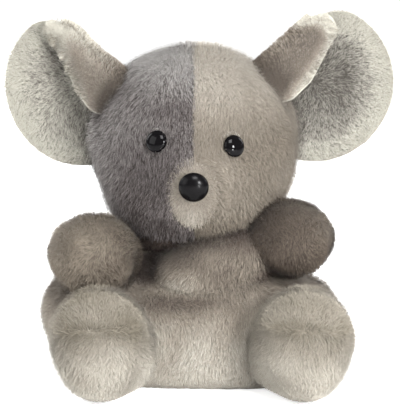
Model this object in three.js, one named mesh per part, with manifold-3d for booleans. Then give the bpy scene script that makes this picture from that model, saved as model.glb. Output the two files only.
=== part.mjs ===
// A sitting plush mouse, about a palm high, in millimetres.
// +Z is up, the face looks along -Y, and the origin is the middle of the flat base that it sits on.
// Left and right are the mouse's own: its left is +X.
import * as THREE from "three";
import { mergeVertices } from "three/addons/utils/BufferGeometryUtils.js";
import Module from "manifold-3d";

const wasm = await Module();
wasm.setup();

// Cloth and gaps
const SKIN = 2.4; // plush cloth with its pressed pile
const PRESSED_SKIN = 1.4; // where a washer squeezes the cloth
const POUCH_CLOTH = 1.0;
const SEAM_GAP = 0.3; // between two panels, or between cloth and filling
const MOVE_GAP = 0.5; // kept to a neighbour all through a joint's travel

// Body: a slumped bag of beans under a narrower chest
const BAG_HALF_WIDTH = 49.5;
const BAG_HALF_DEPTH = 33;
const BAG_HALF_HEIGHT = 20;
const BAG_MIDDLE_HEIGHT = 14;
const BAG_SHIFT = -0.5; // the bag has slumped a little to the mouse's right
const BAG_TILT = 3; // degrees
const BAG_SQUARENESS = 3;
const CHEST_HALF_WIDTH = 28;
const CHEST_HALF_DEPTH = 23;
const CHEST_HALF_HEIGHT = 18;
const CHEST_HEIGHT = 29.5;
const CHEST_SQUARENESS = 2.2;
const BODY_SET_BACK = 4; // the body's middle behind the origin
const BODY_BLEND = 2;
const BODY_CORE_HEIGHT = 21; // where the rays that shape the body start
const SIDE_SEAM_SET_BACK = 3;
const POUCH_TOP = 21; // the bean pouch fills the bag up to here
const POUCH_MOUTH_RADIUS = 4;

// Neck: a round wad of filling, half in the body and half in the head, which both turn on it
const NECK_RADIUS = 8.5;
const NECK_GAP = 1.6; // between the top of the body and the bottom of the head
const NECK_THREAD = 0.6; // radius of the bunched seam thread
const NECK_THREAD_DROP = 1.3; // under the neck's middle, against the body

// Head
const HEAD_HALF_WIDTH = 35;
const HEAD_HALF_DEPTH = 31;
const HEAD_HALF_HEIGHT = 31;
const HEAD_SQUARENESS = 2.2;
const HEAD_BLEND = 5;
const MUZZLE_HALF_WIDTH = 12.5;
const MUZZLE_HALF_HEIGHT = 12;
const MUZZLE_HALF_DEPTH = 15;
const MUZZLE_FORWARD = 22;
const MUZZLE_DROP = 10;
const MUZZLE_PATCH_HALF_WIDTH = 8.6;
const MUZZLE_PATCH_HALF_HEIGHT = 12;
const MUZZLE_PATCH_DROP = 12.5;

// Eyes and nose: plastic buttons, each with a stalk through the cloth and a washer behind it
const EYE_RADIUS = 3.4;
const EYE_BULGE = 2.6;
const EYE_SPREAD = 13;
const EYE_RISE = { left: 2, right: 3.2 }; // over the middle of the head
const NOSE_RADIUS = 4.6;
const NOSE_BULGE = 4.2;
const BUTTON_EDGE = 0.25; // share of a button's bulge that is its upright edge
const BUTTON_BACK = 0.86; // its flat back's radius as a share of its own
const NOSE_DROP = 11.4;
const STALK_RADIUS = 1.3;
const STALK_END = 1.2; // how far the stalk stands out behind its washer
const STALK_PLAY = 0.2;
const WASHER_RADIUS = 3.6;
const WASHER_THICKNESS = 1;

// Ears: a disc of two layers, its upper inner part rolled forward over the front
const EAR_RADIUS = 26;
const EAR_LAYER = 2.2;
const EAR_OUT = { left: 8, right: 5.6 }; // the disc's middle outside the head's surface
const EAR_AROUND = 64; // degrees from the crown, seen from the front
const EAR_FORWARD = -3; // the disc's plane against the head's middle
const EAR_CUP = 3;
const EAR_ROLL_START = { left: 12.5, right: 10.5 }; // from the disc's middle
const EAR_ROLL_RADIUS = 2.8;
const EAR_ROLL_TURN = 168; // degrees
const EAR_FLAP = 13;
const EAR_FLAP_SPREAD = 0.35; // the flap is longer by this share at the head, shorter at the rim
const EAR_FLAP_DROP = 5; // the flap's tip leans towards the head by this
const EAR_ROLL_LINE = 35; // degrees: how steeply the roll climbs away from the head
const EAR_RIM = 0.45; // share of a layer's thickness left at the rim
const EAR_FLAP_END = 0.17; // share of the flap's length left where it meets the rim
const EAR_LIFT = { left: 5, right: 0 }; // degrees: one ear is set a little higher
const EAR_YAW = { left: 6, right: 16 }; // degrees: the outer rim goes back
const EAR_SEAM_TOP = 38; // degrees from the crown
const EAR_SEAM_FOOT = 100;

// Arms
const PAW_RADIUS = 13.5;
const PAW_SPREAD = 33.5;
const PAW_FORWARD = 14;
const PAW_HEIGHT = { left: 45, right: 43.5 };
const ARM_ROOT_RADIUS = 11;
const ARM_BLEND = 3;

// Feet
const FOOT_HALF_WIDTH = 16;
const FOOT_HALF_DEPTH = 17;
const FOOT_HALF_HEIGHT = 17.5;
const FOOT_SQUARENESS = 2.3;
const FOOT_SINK = 0.5; // pressed flat on the floor by this much
const FOOT_SPREAD = { left: 34, right: 30 };
const FOOT_FORWARD = 36;
const LEG_RADIUS = 12.5;
const LEG_BACK = 13; // from the foot's middle back to the leg's
const LEG_IN = 5;
const FOOT_BLEND = 4;
const SOLE_HALF_WIDTH = 12;
const SOLE_HALF_HEIGHT = 11.5;
const SOLE_HEIGHT = 15.5;

// Tail
const TAIL_ROOT_RADIUS = 3.6;
const TAIL_TIP_RADIUS = 1.5;
const TAIL_HEIGHT = 3.9; // of its middle line over the floor
const TAIL_RUN = 26; // straight back, then it curls to the mouse's left
const TAIL_CURL_RADIUS = 19;
const TAIL_CURL = 110; // degrees
const TAIL_ROUNDING = 0.06; // share of the length that rounds off the tip
const TAIL_END = 0.3; // share of the tip's radius left at its very end

// Joints, in degrees either side of rest
const TRAVEL = {
  head_turn: [-20, 20],
  head_nod: [-8, 8],
  ear: [-15, 15],
  arm: [-10, 4],
  foot: [-8, 8],
  tail: [-30, 30],
};
const SWEEP_STEP = 9; // degrees between the places at which a swept neighbour is cut away

// Fineness of the rounded forms
const HEAD_DETAIL = 5;
const BODY_DETAIL = 5;
const LIMB_DETAIL = 3;
const FILLING_DETAIL = 3;
const ROUND_SIDES = 14;
const FAR = 400; // the size of a cutting block

const UP = new THREE.Vector3(0, 0, 1);
const AHEAD = new THREE.Vector3(0, -1, 0);
const rad = THREE.MathUtils.degToRad;
const vec = (x, y, z) => new THREE.Vector3(x, y, z);

// Solids

function toSolid(geometry) {
  const bare = new THREE.BufferGeometry().setAttribute("position", geometry.getAttribute("position").clone());
  if (geometry.index) bare.setIndex(geometry.index);
  const merged = mergeVertices(bare, 1e-4);
  return new wasm.Manifold(
    new wasm.Mesh({
      numProp: 3,
      vertProperties: new Float32Array(merged.attributes.position.array),
      triVerts: new Uint32Array(merged.index.array),
    }),
  );
}

function toGeometry(solid) {
  const made = solid.getMesh();
  const places = new Float32Array(made.numVert * 3);
  for (let i = 0; i < made.numVert; i++) {
    const first = i * made.numProp;
    places.set(made.vertProperties.subarray(first, first + 3), i * 3);
  }
  return new THREE.BufferGeometry()
    .setAttribute("position", new THREE.BufferAttribute(places, 3))
    .setIndex(new THREE.BufferAttribute(new Uint32Array(made.triVerts), 1));
}

// Moves every vertex of a geometry to place(vertex).
function reshaped(geometry, place) {
  const position = geometry.getAttribute("position");
  const p = new THREE.Vector3();
  for (let i = 0; i < position.count; i++) {
    p.fromBufferAttribute(position, i);
    const q = place(p);
    position.setXYZ(i, q.x, q.y, q.z);
  }
  return geometry;
}

// A block of space from low to high. A bound that is left out lies far away.
function block({ x = [-FAR, FAR], y = [-FAR, FAR], z = [-FAR, FAR] }) {
  const box = new THREE.BoxGeometry(x[1] - x[0], y[1] - y[0], z[1] - z[0]);
  return toSolid(box.translate((x[0] + x[1]) / 2, (y[0] + y[1]) / 2, (z[0] + z[1]) / 2));
}

// A round or oval bar from start along direction. Its first radius is the level one.
function bar(start, direction, length, radius, secondRadius = radius, sides = ROUND_SIDES) {
  const shape = new THREE.CylinderGeometry(1, 1, length, sides).translate(0, length / 2, 0);
  shape.scale(radius, 1, secondRadius);
  const turn = new THREE.Matrix4().makeBasis(...basisAround(direction));
  return toSolid(shape.applyMatrix4(turn).translate(start.x, start.y, start.z));
}

// Three axes with the second along direction and the first level.
function basisAround(direction) {
  const along = direction.clone().normalize();
  const level = Math.abs(along.z) > 0.95 ? vec(1, 0, 0) : along.clone().cross(UP).normalize();
  const third = level.clone().cross(along).normalize();
  return [level, along, third];
}

// A turned piece: profile is a list of [radius, height along direction].
function turned(profile, start, direction, sides = ROUND_SIDES) {
  const shape = new THREE.LatheGeometry(profile.map(([r, h]) => new THREE.Vector2(r, h)), sides);
  const turn = new THREE.Matrix4().makeBasis(...basisAround(direction));
  return toSolid(shape.applyMatrix4(turn).translate(start.x, start.y, start.z));
}

// Rounded forms. A form is a core point and a field that is under 0 inside it.

function lump(middle, half, squareness = 2, tilt = 0) {
  const c = Math.cos(rad(tilt));
  const s = Math.sin(rad(tilt));
  const least = Math.min(half.x, half.y, half.z);
  return (p) => {
    const x = p.x - middle.x;
    const z = p.z - middle.z;
    const across = Math.abs((x * c + z * s) / half.x) ** squareness;
    const deep = Math.abs((p.y - middle.y) / half.y) ** squareness;
    const tall = Math.abs((z * c - x * s) / half.z) ** squareness;
    return ((across + deep + tall) ** (1 / squareness) - 1) * least;
  };
}

const ball = (middle, radius) => lump(middle, vec(radius, radius, radius));

// Joins fields with a soft crease about blend wide.
const blended = (blend, ...fields) => (p) =>
  -blend * Math.log(fields.reduce((sum, field) => sum + Math.exp(-field(p) / blend), 0));

// How far from start along direction the field's surface lies.
function reach(field, start, direction) {
  let near = 0;
  let far = FAR;
  for (let i = 0; i < 40; i++) {
    const middle = (near + far) / 2;
    const inside = field(start.clone().addScaledVector(direction, middle)) < 0;
    if (inside) near = middle;
    else far = middle;
  }
  return near;
}

const surfacePoint = (form, direction, start = form.core) =>
  start.clone().addScaledVector(direction, reach(form.field, start, direction));

// The direction straight out of the form at a point of its surface.
function outwards(form, p) {
  const step = 0.05;
  const slope = (d) => form.field(p.clone().add(d)) - form.field(p.clone().sub(d));
  return vec(slope(vec(step, 0, 0)), slope(vec(0, step, 0)), slope(vec(0, 0, step))).normalize();
}

// The form as a geometry, grown by extra along each ray from its core.
function formGeometry(form, detail, extra = 0) {
  return reshaped(new THREE.IcosahedronGeometry(1, detail), (p) => {
    const direction = p.clone().normalize();
    const far = reach(form.field, form.core, direction) + extra;
    return form.core.clone().addScaledVector(direction, far);
  });
}

const formSolid = (form, detail, extra = 0) => toSolid(formGeometry(form, detail, extra));

// Cuts a neighbour out of a solid that turns about an axis, everywhere in its travel.
function clearedOf(solid, neighbour, pivot, axis, [low, high]) {
  const steps = Math.max(1, Math.ceil((high - low) / SWEEP_STEP));
  let left = solid;
  for (let i = 0; i <= steps; i++) {
    const angle = rad(low + ((high - low) * i) / steps);
    const turn = new THREE.Matrix4()
      .makeTranslation(pivot)
      .multiply(new THREE.Matrix4().makeRotationAxis(axis, -angle))
      .multiply(new THREE.Matrix4().makeTranslation(pivot.clone().negate()));
    left = left.subtract(toSolid(neighbour.clone().applyMatrix4(turn)));
  }
  return left;
}

// Materials
const cloth = (color) => new THREE.MeshStandardMaterial({ color, roughness: 0.95, metalness: 0 });
const greyPlush = cloth(0x8f8a84);
const palePlush = cloth(0xb7b0a3);
const earLining = cloth(0xbdb9ae);
const brownPlush = cloth(0x857b6d);
const bagCloth = cloth(0xe8e4da);
const filling = cloth(0xf4f2ee);
const thread = cloth(0x8a847b);
const beans = new THREE.MeshStandardMaterial({ color: 0xd9d6cc, roughness: 0.5, metalness: 0 });
const blackButton = new THREE.MeshStandardMaterial({ color: 0x0c0c0d, roughness: 0.12, metalness: 0 });
const washerPlastic = new THREE.MeshStandardMaterial({ color: 0xf0f0ec, roughness: 0.5, metalness: 0 });

const mouse = new THREE.Group();
const joints = {};

// Adds a solid as a named mesh, its vertices kept about its own middle and its place in position.
function add(name, solid, material) {
  const geometry = toGeometry(solid);
  geometry.computeBoundingBox();
  const middle = geometry.boundingBox.getCenter(vec(0, 0, 0));
  geometry.translate(-middle.x, -middle.y, -middle.z);
  geometry.computeVertexNormals();
  const mesh = new THREE.Mesh(geometry, material);
  mesh.name = name;
  mesh.position.copy(middle);
  mouse.add(mesh);
}

// The main forms

const bagField = lump(
  vec(BAG_SHIFT, BODY_SET_BACK, BAG_MIDDLE_HEIGHT),
  vec(BAG_HALF_WIDTH, BAG_HALF_DEPTH, BAG_HALF_HEIGHT),
  BAG_SQUARENESS,
  -BAG_TILT,
);
const chestField = lump(
  vec(0, BODY_SET_BACK, CHEST_HEIGHT),
  vec(CHEST_HALF_WIDTH, CHEST_HALF_DEPTH, CHEST_HALF_HEIGHT),
  CHEST_SQUARENESS,
);
const body = {
  core: vec(0, BODY_SET_BACK, BODY_CORE_HEIGHT),
  field: blended(BODY_BLEND, bagField, chestField),
};
const bodyTop = surfacePoint(body, UP);
const neckPivot = bodyTop.clone().addScaledVector(UP, NECK_GAP / 2);

const headMiddle = bodyTop.clone().addScaledVector(UP, NECK_GAP + HEAD_HALF_HEIGHT);
const head = {
  core: headMiddle,
  field: blended(
    HEAD_BLEND,
    lump(headMiddle, vec(HEAD_HALF_WIDTH, HEAD_HALF_DEPTH, HEAD_HALF_HEIGHT), HEAD_SQUARENESS),
    lump(
      headMiddle.clone().add(vec(0, -MUZZLE_FORWARD, -MUZZLE_DROP)),
      vec(MUZZLE_HALF_WIDTH, MUZZLE_HALF_DEPTH, MUZZLE_HALF_HEIGHT),
    ),
  ),
};

// Body

function buildBody() {
  const outer = formSolid(body, BODY_DETAIL).intersect(block({ z: [0, FAR] }));
  const inner = formSolid(body, FILLING_DETAIL, -SKIN);
  const shell = outer.subtract(inner).subtract(neckBall(SEAM_GAP)).subtract(neckRing(SEAM_GAP));
  const overBase = block({ z: [SKIN + SEAM_GAP, FAR] });
  const seam = BODY_SET_BACK + SIDE_SEAM_SET_BACK;
  const front = block({ y: [-FAR, seam - SEAM_GAP / 2] });
  const back = block({ y: [seam + SEAM_GAP / 2, FAR] });
  add("body_front_panel", shell.intersect(overBase).intersect(front), greyPlush);
  add("body_back_panel", shell.intersect(overBase).intersect(back), greyPlush);
  add("base_panel", outer.intersect(block({ z: [-FAR, SKIN] })), greyPlush);

  const fillingForm = formSolid(body, FILLING_DETAIL, -SKIN - SEAM_GAP);
  const chest = fillingForm.intersect(block({ z: [POUCH_TOP + SEAM_GAP, FAR] }));
  add("body_stuffing", chest.subtract(neckBall(SEAM_GAP)), filling);

  const bag = fillingForm.intersect(block({ z: [SKIN + SEAM_GAP, POUCH_TOP] }));
  const room = formSolid(body, FILLING_DETAIL, -SKIN - SEAM_GAP - POUCH_CLOTH).intersect(
    block({ z: [SKIN + SEAM_GAP + POUCH_CLOTH, POUCH_TOP - POUCH_CLOTH] }),
  );
  const underMouth = vec(0, BODY_SET_BACK, POUCH_TOP - 2 * POUCH_CLOTH);
  const mouth = bar(underMouth, UP, 3 * POUCH_CLOTH, POUCH_MOUTH_RADIUS);
  add("bean_pouch", bag.subtract(room).subtract(mouth), bagCloth);
  const deeper = SKIN + 2 * SEAM_GAP + POUCH_CLOTH;
  const fill = formSolid(body, FILLING_DETAIL, -deeper).intersect(
    block({ z: [deeper, POUCH_TOP - POUCH_CLOTH - SEAM_GAP] }),
  );
  add("bean_fill", fill, beans);
}

// Neck

const neckBall = (extra) =>
  toSolid(new THREE.IcosahedronGeometry(NECK_RADIUS + extra, FILLING_DETAIL).translate(...neckPivot));

// The thread that gathers the neck's seam, pulled into the top of the body.
function neckRing(extra) {
  const radius = NECK_RADIUS + SEAM_GAP + NECK_THREAD;
  const ring = new THREE.TorusGeometry(radius, NECK_THREAD + extra, 6, 24);
  return toSolid(ring.translate(neckPivot.x, neckPivot.y, neckPivot.z - NECK_THREAD_DROP));
}

function buildNeck() {
  add("neck_stuffing", neckBall(0), filling);
  add("neck_thread", neckRing(0), thread);
  joints.head_turn = { pivot: neckPivot, axis: UP, travel: TRAVEL.head_turn };
  joints.head_nod = { pivot: neckPivot, axis: vec(1, 0, 0), travel: TRAVEL.head_nod };
}

// A button on the head: its seat on the surface, the way it faces and how deep its washer sits.
// The cloth curves away under the washer's rim, so the rim decides the depth.
function buttonSeat(x, rise) {
  const start = headMiddle.clone().add(vec(x, 0, rise));
  const seat = surfacePoint(head, AHEAD, start);
  const facing = outwards(head, seat);
  const [level, , third] = basisAround(facing);
  let depth = 0;
  const rimPoints = 8;
  for (let i = 0; i < rimPoints; i++) {
    const angle = (i / rimPoints) * 2 * Math.PI;
    const rim = level.clone().multiplyScalar(Math.cos(angle) * WASHER_RADIUS);
    rim.addScaledVector(third, Math.sin(angle) * WASHER_RADIUS);
    const deep = seat.clone().add(rim).addScaledVector(facing, -WASHER_RADIUS * 2);
    depth = Math.max(depth, WASHER_RADIUS * 2 - reach(head.field, deep, facing));
  }
  return { seat, facing, washerDepth: depth + PRESSED_SKIN };
}

const eyeSeats = {
  left: buttonSeat(EYE_SPREAD, EYE_RISE.left),
  right: buttonSeat(-EYE_SPREAD, EYE_RISE.right),
};
const noseSeat = buttonSeat(0, -NOSE_DROP);

const stalkLength = ({ washerDepth }) => washerDepth + WASHER_THICKNESS + STALK_END;

// A dome with a stalk. Its back stands a seam gap off the cloth.
function button(place, radius, bulge) {
  const { seat, facing } = place;
  const end = -stalkLength(place);
  const profile = [[0, end], [STALK_RADIUS, end], [STALK_RADIUS, SEAM_GAP]];
  profile.push([radius * BUTTON_BACK, SEAM_GAP]);
  const rings = 5;
  for (let i = 0; i <= rings; i++) {
    const angle = (i / rings) * (Math.PI / 2);
    const height = SEAM_GAP + bulge * (BUTTON_EDGE + (1 - BUTTON_EDGE) * Math.sin(angle));
    profile.push([i === rings ? 0 : radius * Math.cos(angle), height]);
  }
  return turned(profile, seat, facing);
}

function stalkHole(place) {
  const length = stalkLength(place);
  const start = place.seat.clone().addScaledVector(place.facing, -length);
  return bar(start, place.facing, 2 * length, STALK_RADIUS + STALK_PLAY);
}

function washer({ seat, facing, washerDepth }) {
  const inner = STALK_RADIUS + STALK_PLAY;
  const top = -washerDepth;
  const low = top - WASHER_THICKNESS;
  const profile = [[inner, low], [WASHER_RADIUS, low], [WASHER_RADIUS, top], [inner, top], [inner, low]];
  return turned(profile, seat, facing);
}

// The hollow that a stalk and its washer need in the filling and in the back of the cloth.
function buttonPocket(place) {
  const length = stalkLength(place) + SEAM_GAP;
  const start = place.seat.clone().addScaledVector(place.facing, -length);
  const depth = length - place.washerDepth + SEAM_GAP;
  return bar(start, place.facing, depth, WASHER_RADIUS + SEAM_GAP);
}

// Head

function buildHead() {
  const buttons = [eyeSeats.left, eyeSeats.right, noseSeat];
  let shell = formSolid(head, HEAD_DETAIL).subtract(formSolid(head, FILLING_DETAIL, -SKIN));
  shell = shell.subtract(neckBall(SEAM_GAP));
  for (const place of buttons) {
    shell = shell.subtract(stalkHole(place)).subtract(buttonPocket(place));
  }

  const patchStart = headMiddle.clone().add(vec(0, -MUZZLE_FORWARD, -MUZZLE_PATCH_DROP));
  const patch = (extra) =>
    bar(patchStart, AHEAD, FAR, MUZZLE_PATCH_HALF_WIDTH + extra, MUZZLE_PATCH_HALF_HEIGHT + extra);
  add("muzzle_panel", shell.intersect(patch(0)), palePlush);
  const sides = shell.subtract(patch(SEAM_GAP));
  add("head_panel_left", sides.intersect(block({ x: [SEAM_GAP / 2, FAR] })), palePlush);
  add("head_panel_right", sides.intersect(block({ x: [-FAR, -SEAM_GAP / 2] })), greyPlush);

  let stuffing = formSolid(head, FILLING_DETAIL, -SKIN - SEAM_GAP).subtract(neckBall(SEAM_GAP));
  for (const place of buttons) {
    stuffing = stuffing.subtract(stalkHole(place)).subtract(buttonPocket(place));
  }
  add("head_stuffing", stuffing, filling);

  for (const side of ["left", "right"]) {
    add(`eye_${side}`, button(eyeSeats[side], EYE_RADIUS, EYE_BULGE), blackButton);
    add(`eye_washer_${side}`, washer(eyeSeats[side]), washerPlastic);
  }
  add("nose", button(noseSeat, NOSE_RADIUS, NOSE_BULGE), blackButton);
  add("nose_washer", washer(noseSeat), washerPlastic);
}

// Ears

const EAR_STEPS = { disc: 6, roll: 4, flap: 3, rows: 6 };
const EAR_POINT = 0.02; // radians short of the disc's pole, where the lattice would close up

// A point of a flat ear, across by s, along the roll by t and thick by w, once the ear is rolled.
function rolled(s, t, w, start) {
  const turn = rad(EAR_ROLL_TURN);
  const cup = EAR_CUP * ((Math.min(s, start) ** 2 + t * t) / EAR_RADIUS ** 2);
  if (s <= start) return vec(s, t, w + cup);
  const angle = Math.min((s - start) / EAR_ROLL_RADIUS, turn);
  const beyond = Math.max(0, s - start - EAR_ROLL_RADIUS * turn);
  const radius = EAR_ROLL_RADIUS - w;
  return vec(
    start + radius * Math.sin(angle) + beyond * Math.cos(turn),
    t,
    cup + EAR_ROLL_RADIUS - radius * Math.cos(angle) + beyond * Math.sin(turn),
  );
}

// How far across the flat ear a column of the lattice lies, at a place along the roll from -1 to 1.
function earAcross(column, along, start) {
  const { disc, roll, flap } = EAR_STEPS;
  const turnLength = EAR_ROLL_RADIUS * rad(EAR_ROLL_TURN);
  if (column <= disc) {
    const first = -Math.PI / 2 + EAR_POINT;
    const last = Math.asin(start / EAR_RADIUS);
    return EAR_RADIUS * Math.sin(first + ((last - first) * column) / disc);
  }
  if (column <= disc + roll) return start + (turnLength * (column - disc)) / roll;
  const share = (column - disc - roll) / flap;
  const taper = Math.sqrt(1 - (1 - EAR_FLAP_END ** 2) * Math.max(0, along) ** 2);
  return start + turnLength + EAR_FLAP * share * taper * (1 - EAR_FLAP_SPREAD * along);
}

// One layer of an ear between two depths, as a box lattice laid on the ear's outline and rolled.
function earLayer(low, high, start) {
  const { disc, roll, flap, rows } = EAR_STEPS;
  const lastColumn = disc + roll + flap;
  return reshaped(new THREE.BoxGeometry(2, 2, 2, lastColumn, rows, 1), (p) => {
    const column = Math.round(((p.x + 1) / 2) * lastColumn);
    const along = Math.sin((p.y * Math.PI) / 2);
    const s = earAcross(column, along, start);
    const halfChord = Math.sqrt(EAR_RADIUS ** 2 - Math.min(s, start) ** 2);
    const inFlap = Math.max(0, column - disc - roll) / flap;
    const t = halfChord * along - EAR_FLAP_DROP * inFlap;
    const atRim = column === 0 || column === lastColumn || Math.abs(p.y) > 0.999;
    const thick = ((high - low) / 2) * (atRim ? EAR_RIM : 1);
    return rolled(s, t, (low + high) / 2 + p.z * thick, start);
  });
}

// Where an ear stands, and the line along the head that it swings about.
function earPlace(side) {
  const sign = side === "left" ? 1 : -1;
  const around = (degrees) => vec(sign * Math.sin(rad(degrees)), 0, Math.cos(rad(degrees)));
  const level = headMiddle.clone().add(vec(0, -EAR_FORWARD, 0));
  const outward = around(EAR_AROUND);
  const base = surfacePoint(head, outward, level);
  const lean = rad(EAR_ROLL_LINE + EAR_LIFT[side]);
  const across = vec(-sign * Math.sin(lean), 0, Math.cos(lean));
  const along = vec(sign * Math.cos(lean), 0, Math.sin(lean));
  const frame = new THREE.Matrix4().makeBasis(across, along, AHEAD);
  frame.setPosition(outward.clone().multiplyScalar(EAR_OUT[side]));
  const stand = new THREE.Matrix4()
    .makeTranslation(base)
    .multiply(new THREE.Matrix4().makeRotationAxis(UP, sign * rad(EAR_YAW[side])))
    .multiply(frame);
  const top = surfacePoint(head, around(EAR_SEAM_TOP), level);
  const foot = surfacePoint(head, around(EAR_SEAM_FOOT), level);
  const axis = top.clone().sub(foot).normalize();
  const pivot = top.clone().add(foot).multiplyScalar(0.5);
  return { stand, pivot, axis };
}

function buildEar(side) {
  const { stand, pivot, axis } = earPlace(side);
  const nearHead = formGeometry(head, HEAD_DETAIL, MOVE_GAP);
  const half = SEAM_GAP / 2;
  const layers = {
    lining: [half, half + EAR_LAYER, earLining],
    back: [-half - EAR_LAYER, -half, greyPlush],
  };
  for (const [layer, [low, high, material]] of Object.entries(layers)) {
    const geometry = earLayer(low, high, EAR_ROLL_START[side]).applyMatrix4(stand);
    if (stand.determinant() < 0) flipFaces(geometry);
    const whole = clearedOf(toSolid(geometry), nearHead, pivot, axis, TRAVEL.ear);
    add(`ear_${layer}_${side}`, largest(whole), material);
  }
  joints[`ear_${side}_flop`] = { pivot, axis, travel: TRAVEL.ear };
}

function flipFaces(geometry) {
  const index = geometry.index.array;
  for (let i = 0; i < index.length; i += 3) {
    [index[i + 1], index[i + 2]] = [index[i + 2], index[i + 1]];
  }
}

// A cut can leave loose slivers beside the piece. This keeps the piece.
function largest(solid) {
  const bodies = solid.decompose();
  return bodies.reduce((most, one) => (one.volume() > most.volume() ? one : most));
}

// Arms

function buildArm(side) {
  const sign = side === "left" ? 1 : -1;
  const paw = vec(sign * PAW_SPREAD, -PAW_FORWARD, PAW_HEIGHT[side]);
  const shoulder = surfacePoint(body, paw.clone().sub(body.core).normalize());
  const arm = {
    core: paw,
    field: blended(ARM_BLEND, ball(paw, PAW_RADIUS), ball(shoulder, ARM_ROOT_RADIUS)),
  };
  const axis = vec(0, -sign, 0);
  const nearBody = formGeometry(body, BODY_DETAIL, MOVE_GAP);
  const clear = (solid) => largest(clearedOf(solid, nearBody, shoulder, axis, TRAVEL.arm));
  const hollow = formSolid(arm, LIMB_DETAIL, -SKIN);
  add(`arm_skin_${side}`, clear(formSolid(arm, LIMB_DETAIL).subtract(hollow)), brownPlush);
  add(`arm_stuffing_${side}`, clear(formSolid(arm, LIMB_DETAIL, -SKIN - SEAM_GAP)), filling);
  joints[`arm_${side}_swing`] = { pivot: shoulder, axis, travel: TRAVEL.arm };
}

// Feet

function buildFoot(side) {
  const sign = side === "left" ? 1 : -1;
  const middle = vec(sign * FOOT_SPREAD[side], -FOOT_FORWARD, FOOT_HALF_HEIGHT - FOOT_SINK);
  const leg = vec(middle.x - sign * LEG_IN, middle.y + LEG_BACK, LEG_RADIUS - FOOT_SINK);
  const foot = {
    core: middle,
    field: blended(
      FOOT_BLEND,
      lump(middle, vec(FOOT_HALF_WIDTH, FOOT_HALF_DEPTH, FOOT_HALF_HEIGHT), FOOT_SQUARENESS),
      ball(leg, LEG_RADIUS),
    ),
  };
  const towards = middle.clone().sub(body.core).normalize();
  const pivot = surfacePoint(body, towards);
  const nearBody = formGeometry(body, BODY_DETAIL, MOVE_GAP);
  const clear = (solid) => largest(clearedOf(solid, nearBody, pivot, UP, TRAVEL.foot));
  const floor = (height) => block({ z: [height, FAR] });
  const outer = formSolid(foot, LIMB_DETAIL).intersect(floor(0));
  const inner = formSolid(foot, LIMB_DETAIL, -SKIN).intersect(floor(SKIN));
  const shell = clear(outer.subtract(inner));
  const soleStart = vec(middle.x, middle.y, SOLE_HEIGHT);
  const sole = (extra) =>
    bar(soleStart, AHEAD, FAR, SOLE_HALF_WIDTH + extra, SOLE_HALF_HEIGHT + extra);
  add(`foot_sole_${side}`, shell.intersect(sole(0)), palePlush);
  add(`foot_upper_${side}`, largest(shell.subtract(sole(SEAM_GAP))), palePlush);
  const stuffing = formSolid(foot, LIMB_DETAIL, -SKIN - SEAM_GAP).intersect(floor(SKIN + SEAM_GAP));
  add(`foot_stuffing_${side}`, clear(stuffing), filling);
  joints[`foot_${side}_splay`] = { pivot, axis: UP, travel: TRAVEL.foot };
}

// Tail

function buildTail() {
  const start = surfacePoint(body, vec(0, 1, 0), vec(0, BODY_SET_BACK, TAIL_HEIGHT));
  const path = new THREE.CurvePath();
  const bend = start.clone().add(vec(0, TAIL_RUN, 0));
  path.add(new THREE.LineCurve3(start.clone().add(vec(0, -TAIL_ROOT_RADIUS, 0)), bend));
  const turnMiddle = bend.clone().add(vec(TAIL_CURL_RADIUS, 0, 0));
  const arcPoints = [];
  const arcSteps = 12;
  for (let i = 0; i <= arcSteps; i++) {
    const angle = rad((TAIL_CURL * i) / arcSteps);
    const arm = vec(-Math.cos(angle), Math.sin(angle), 0).multiplyScalar(TAIL_CURL_RADIUS);
    arcPoints.push(turnMiddle.clone().add(arm));
  }
  path.add(new THREE.CatmullRomCurve3(arcPoints));
  const steps = 18;
  const sides = 8;
  const tube = reshaped(new THREE.CylinderGeometry(1, 1, 1, sides, steps), (p) => {
    const share = THREE.MathUtils.clamp(p.y + 0.5, 0, 1);
    const middle = path.getPointAt(share);
    const ahead = path.getTangentAt(share);
    const level = ahead.clone().cross(UP).normalize();
    const taper = TAIL_ROOT_RADIUS + (TAIL_TIP_RADIUS - TAIL_ROOT_RADIUS) * share;
    const fromTip = (1 - share) / TAIL_ROUNDING;
    const radius = taper * (fromTip < 1 ? Math.sqrt(1 - (1 - fromTip) ** 2 * (1 - TAIL_END ** 2)) : 1);
    return middle.addScaledVector(level, p.x * radius).addScaledVector(UP, p.z * radius);
  });
  const nearBody = formGeometry(body, BODY_DETAIL, MOVE_GAP);
  const pivot = vec(start.x, start.y, TAIL_HEIGHT);
  add("tail", largest(clearedOf(toSolid(tube), nearBody, pivot, UP, TRAVEL.tail)), brownPlush);
  joints.tail_swing = { pivot, axis: UP, travel: TRAVEL.tail };
}

buildBody();
buildNeck();
buildHead();
for (const side of ["left", "right"]) {
  buildEar(side);
  buildArm(side);
  buildFoot(side);
}
buildTail();

// Where each joint turns, for whoever poses the model.
mouse.userData.joints = joints;

export default mouse;
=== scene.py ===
"""A sitting plush mouse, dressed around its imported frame.

Run as a script, this file registers its operators and calls them in order. Lengths are in metres, +Z is up
and the face looks along -Y. Left and right are the mouse's own: its left is +X. A setting that holds a pair
gives the left one first.
"""

import math

import bmesh
import bpy
import numpy as np
from bpy.props import FloatProperty, FloatVectorProperty, IntProperty, PointerProperty
from bpy.types import Operator, Panel, PropertyGroup
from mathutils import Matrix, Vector
from mathutils.kdtree import KDTree


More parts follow.
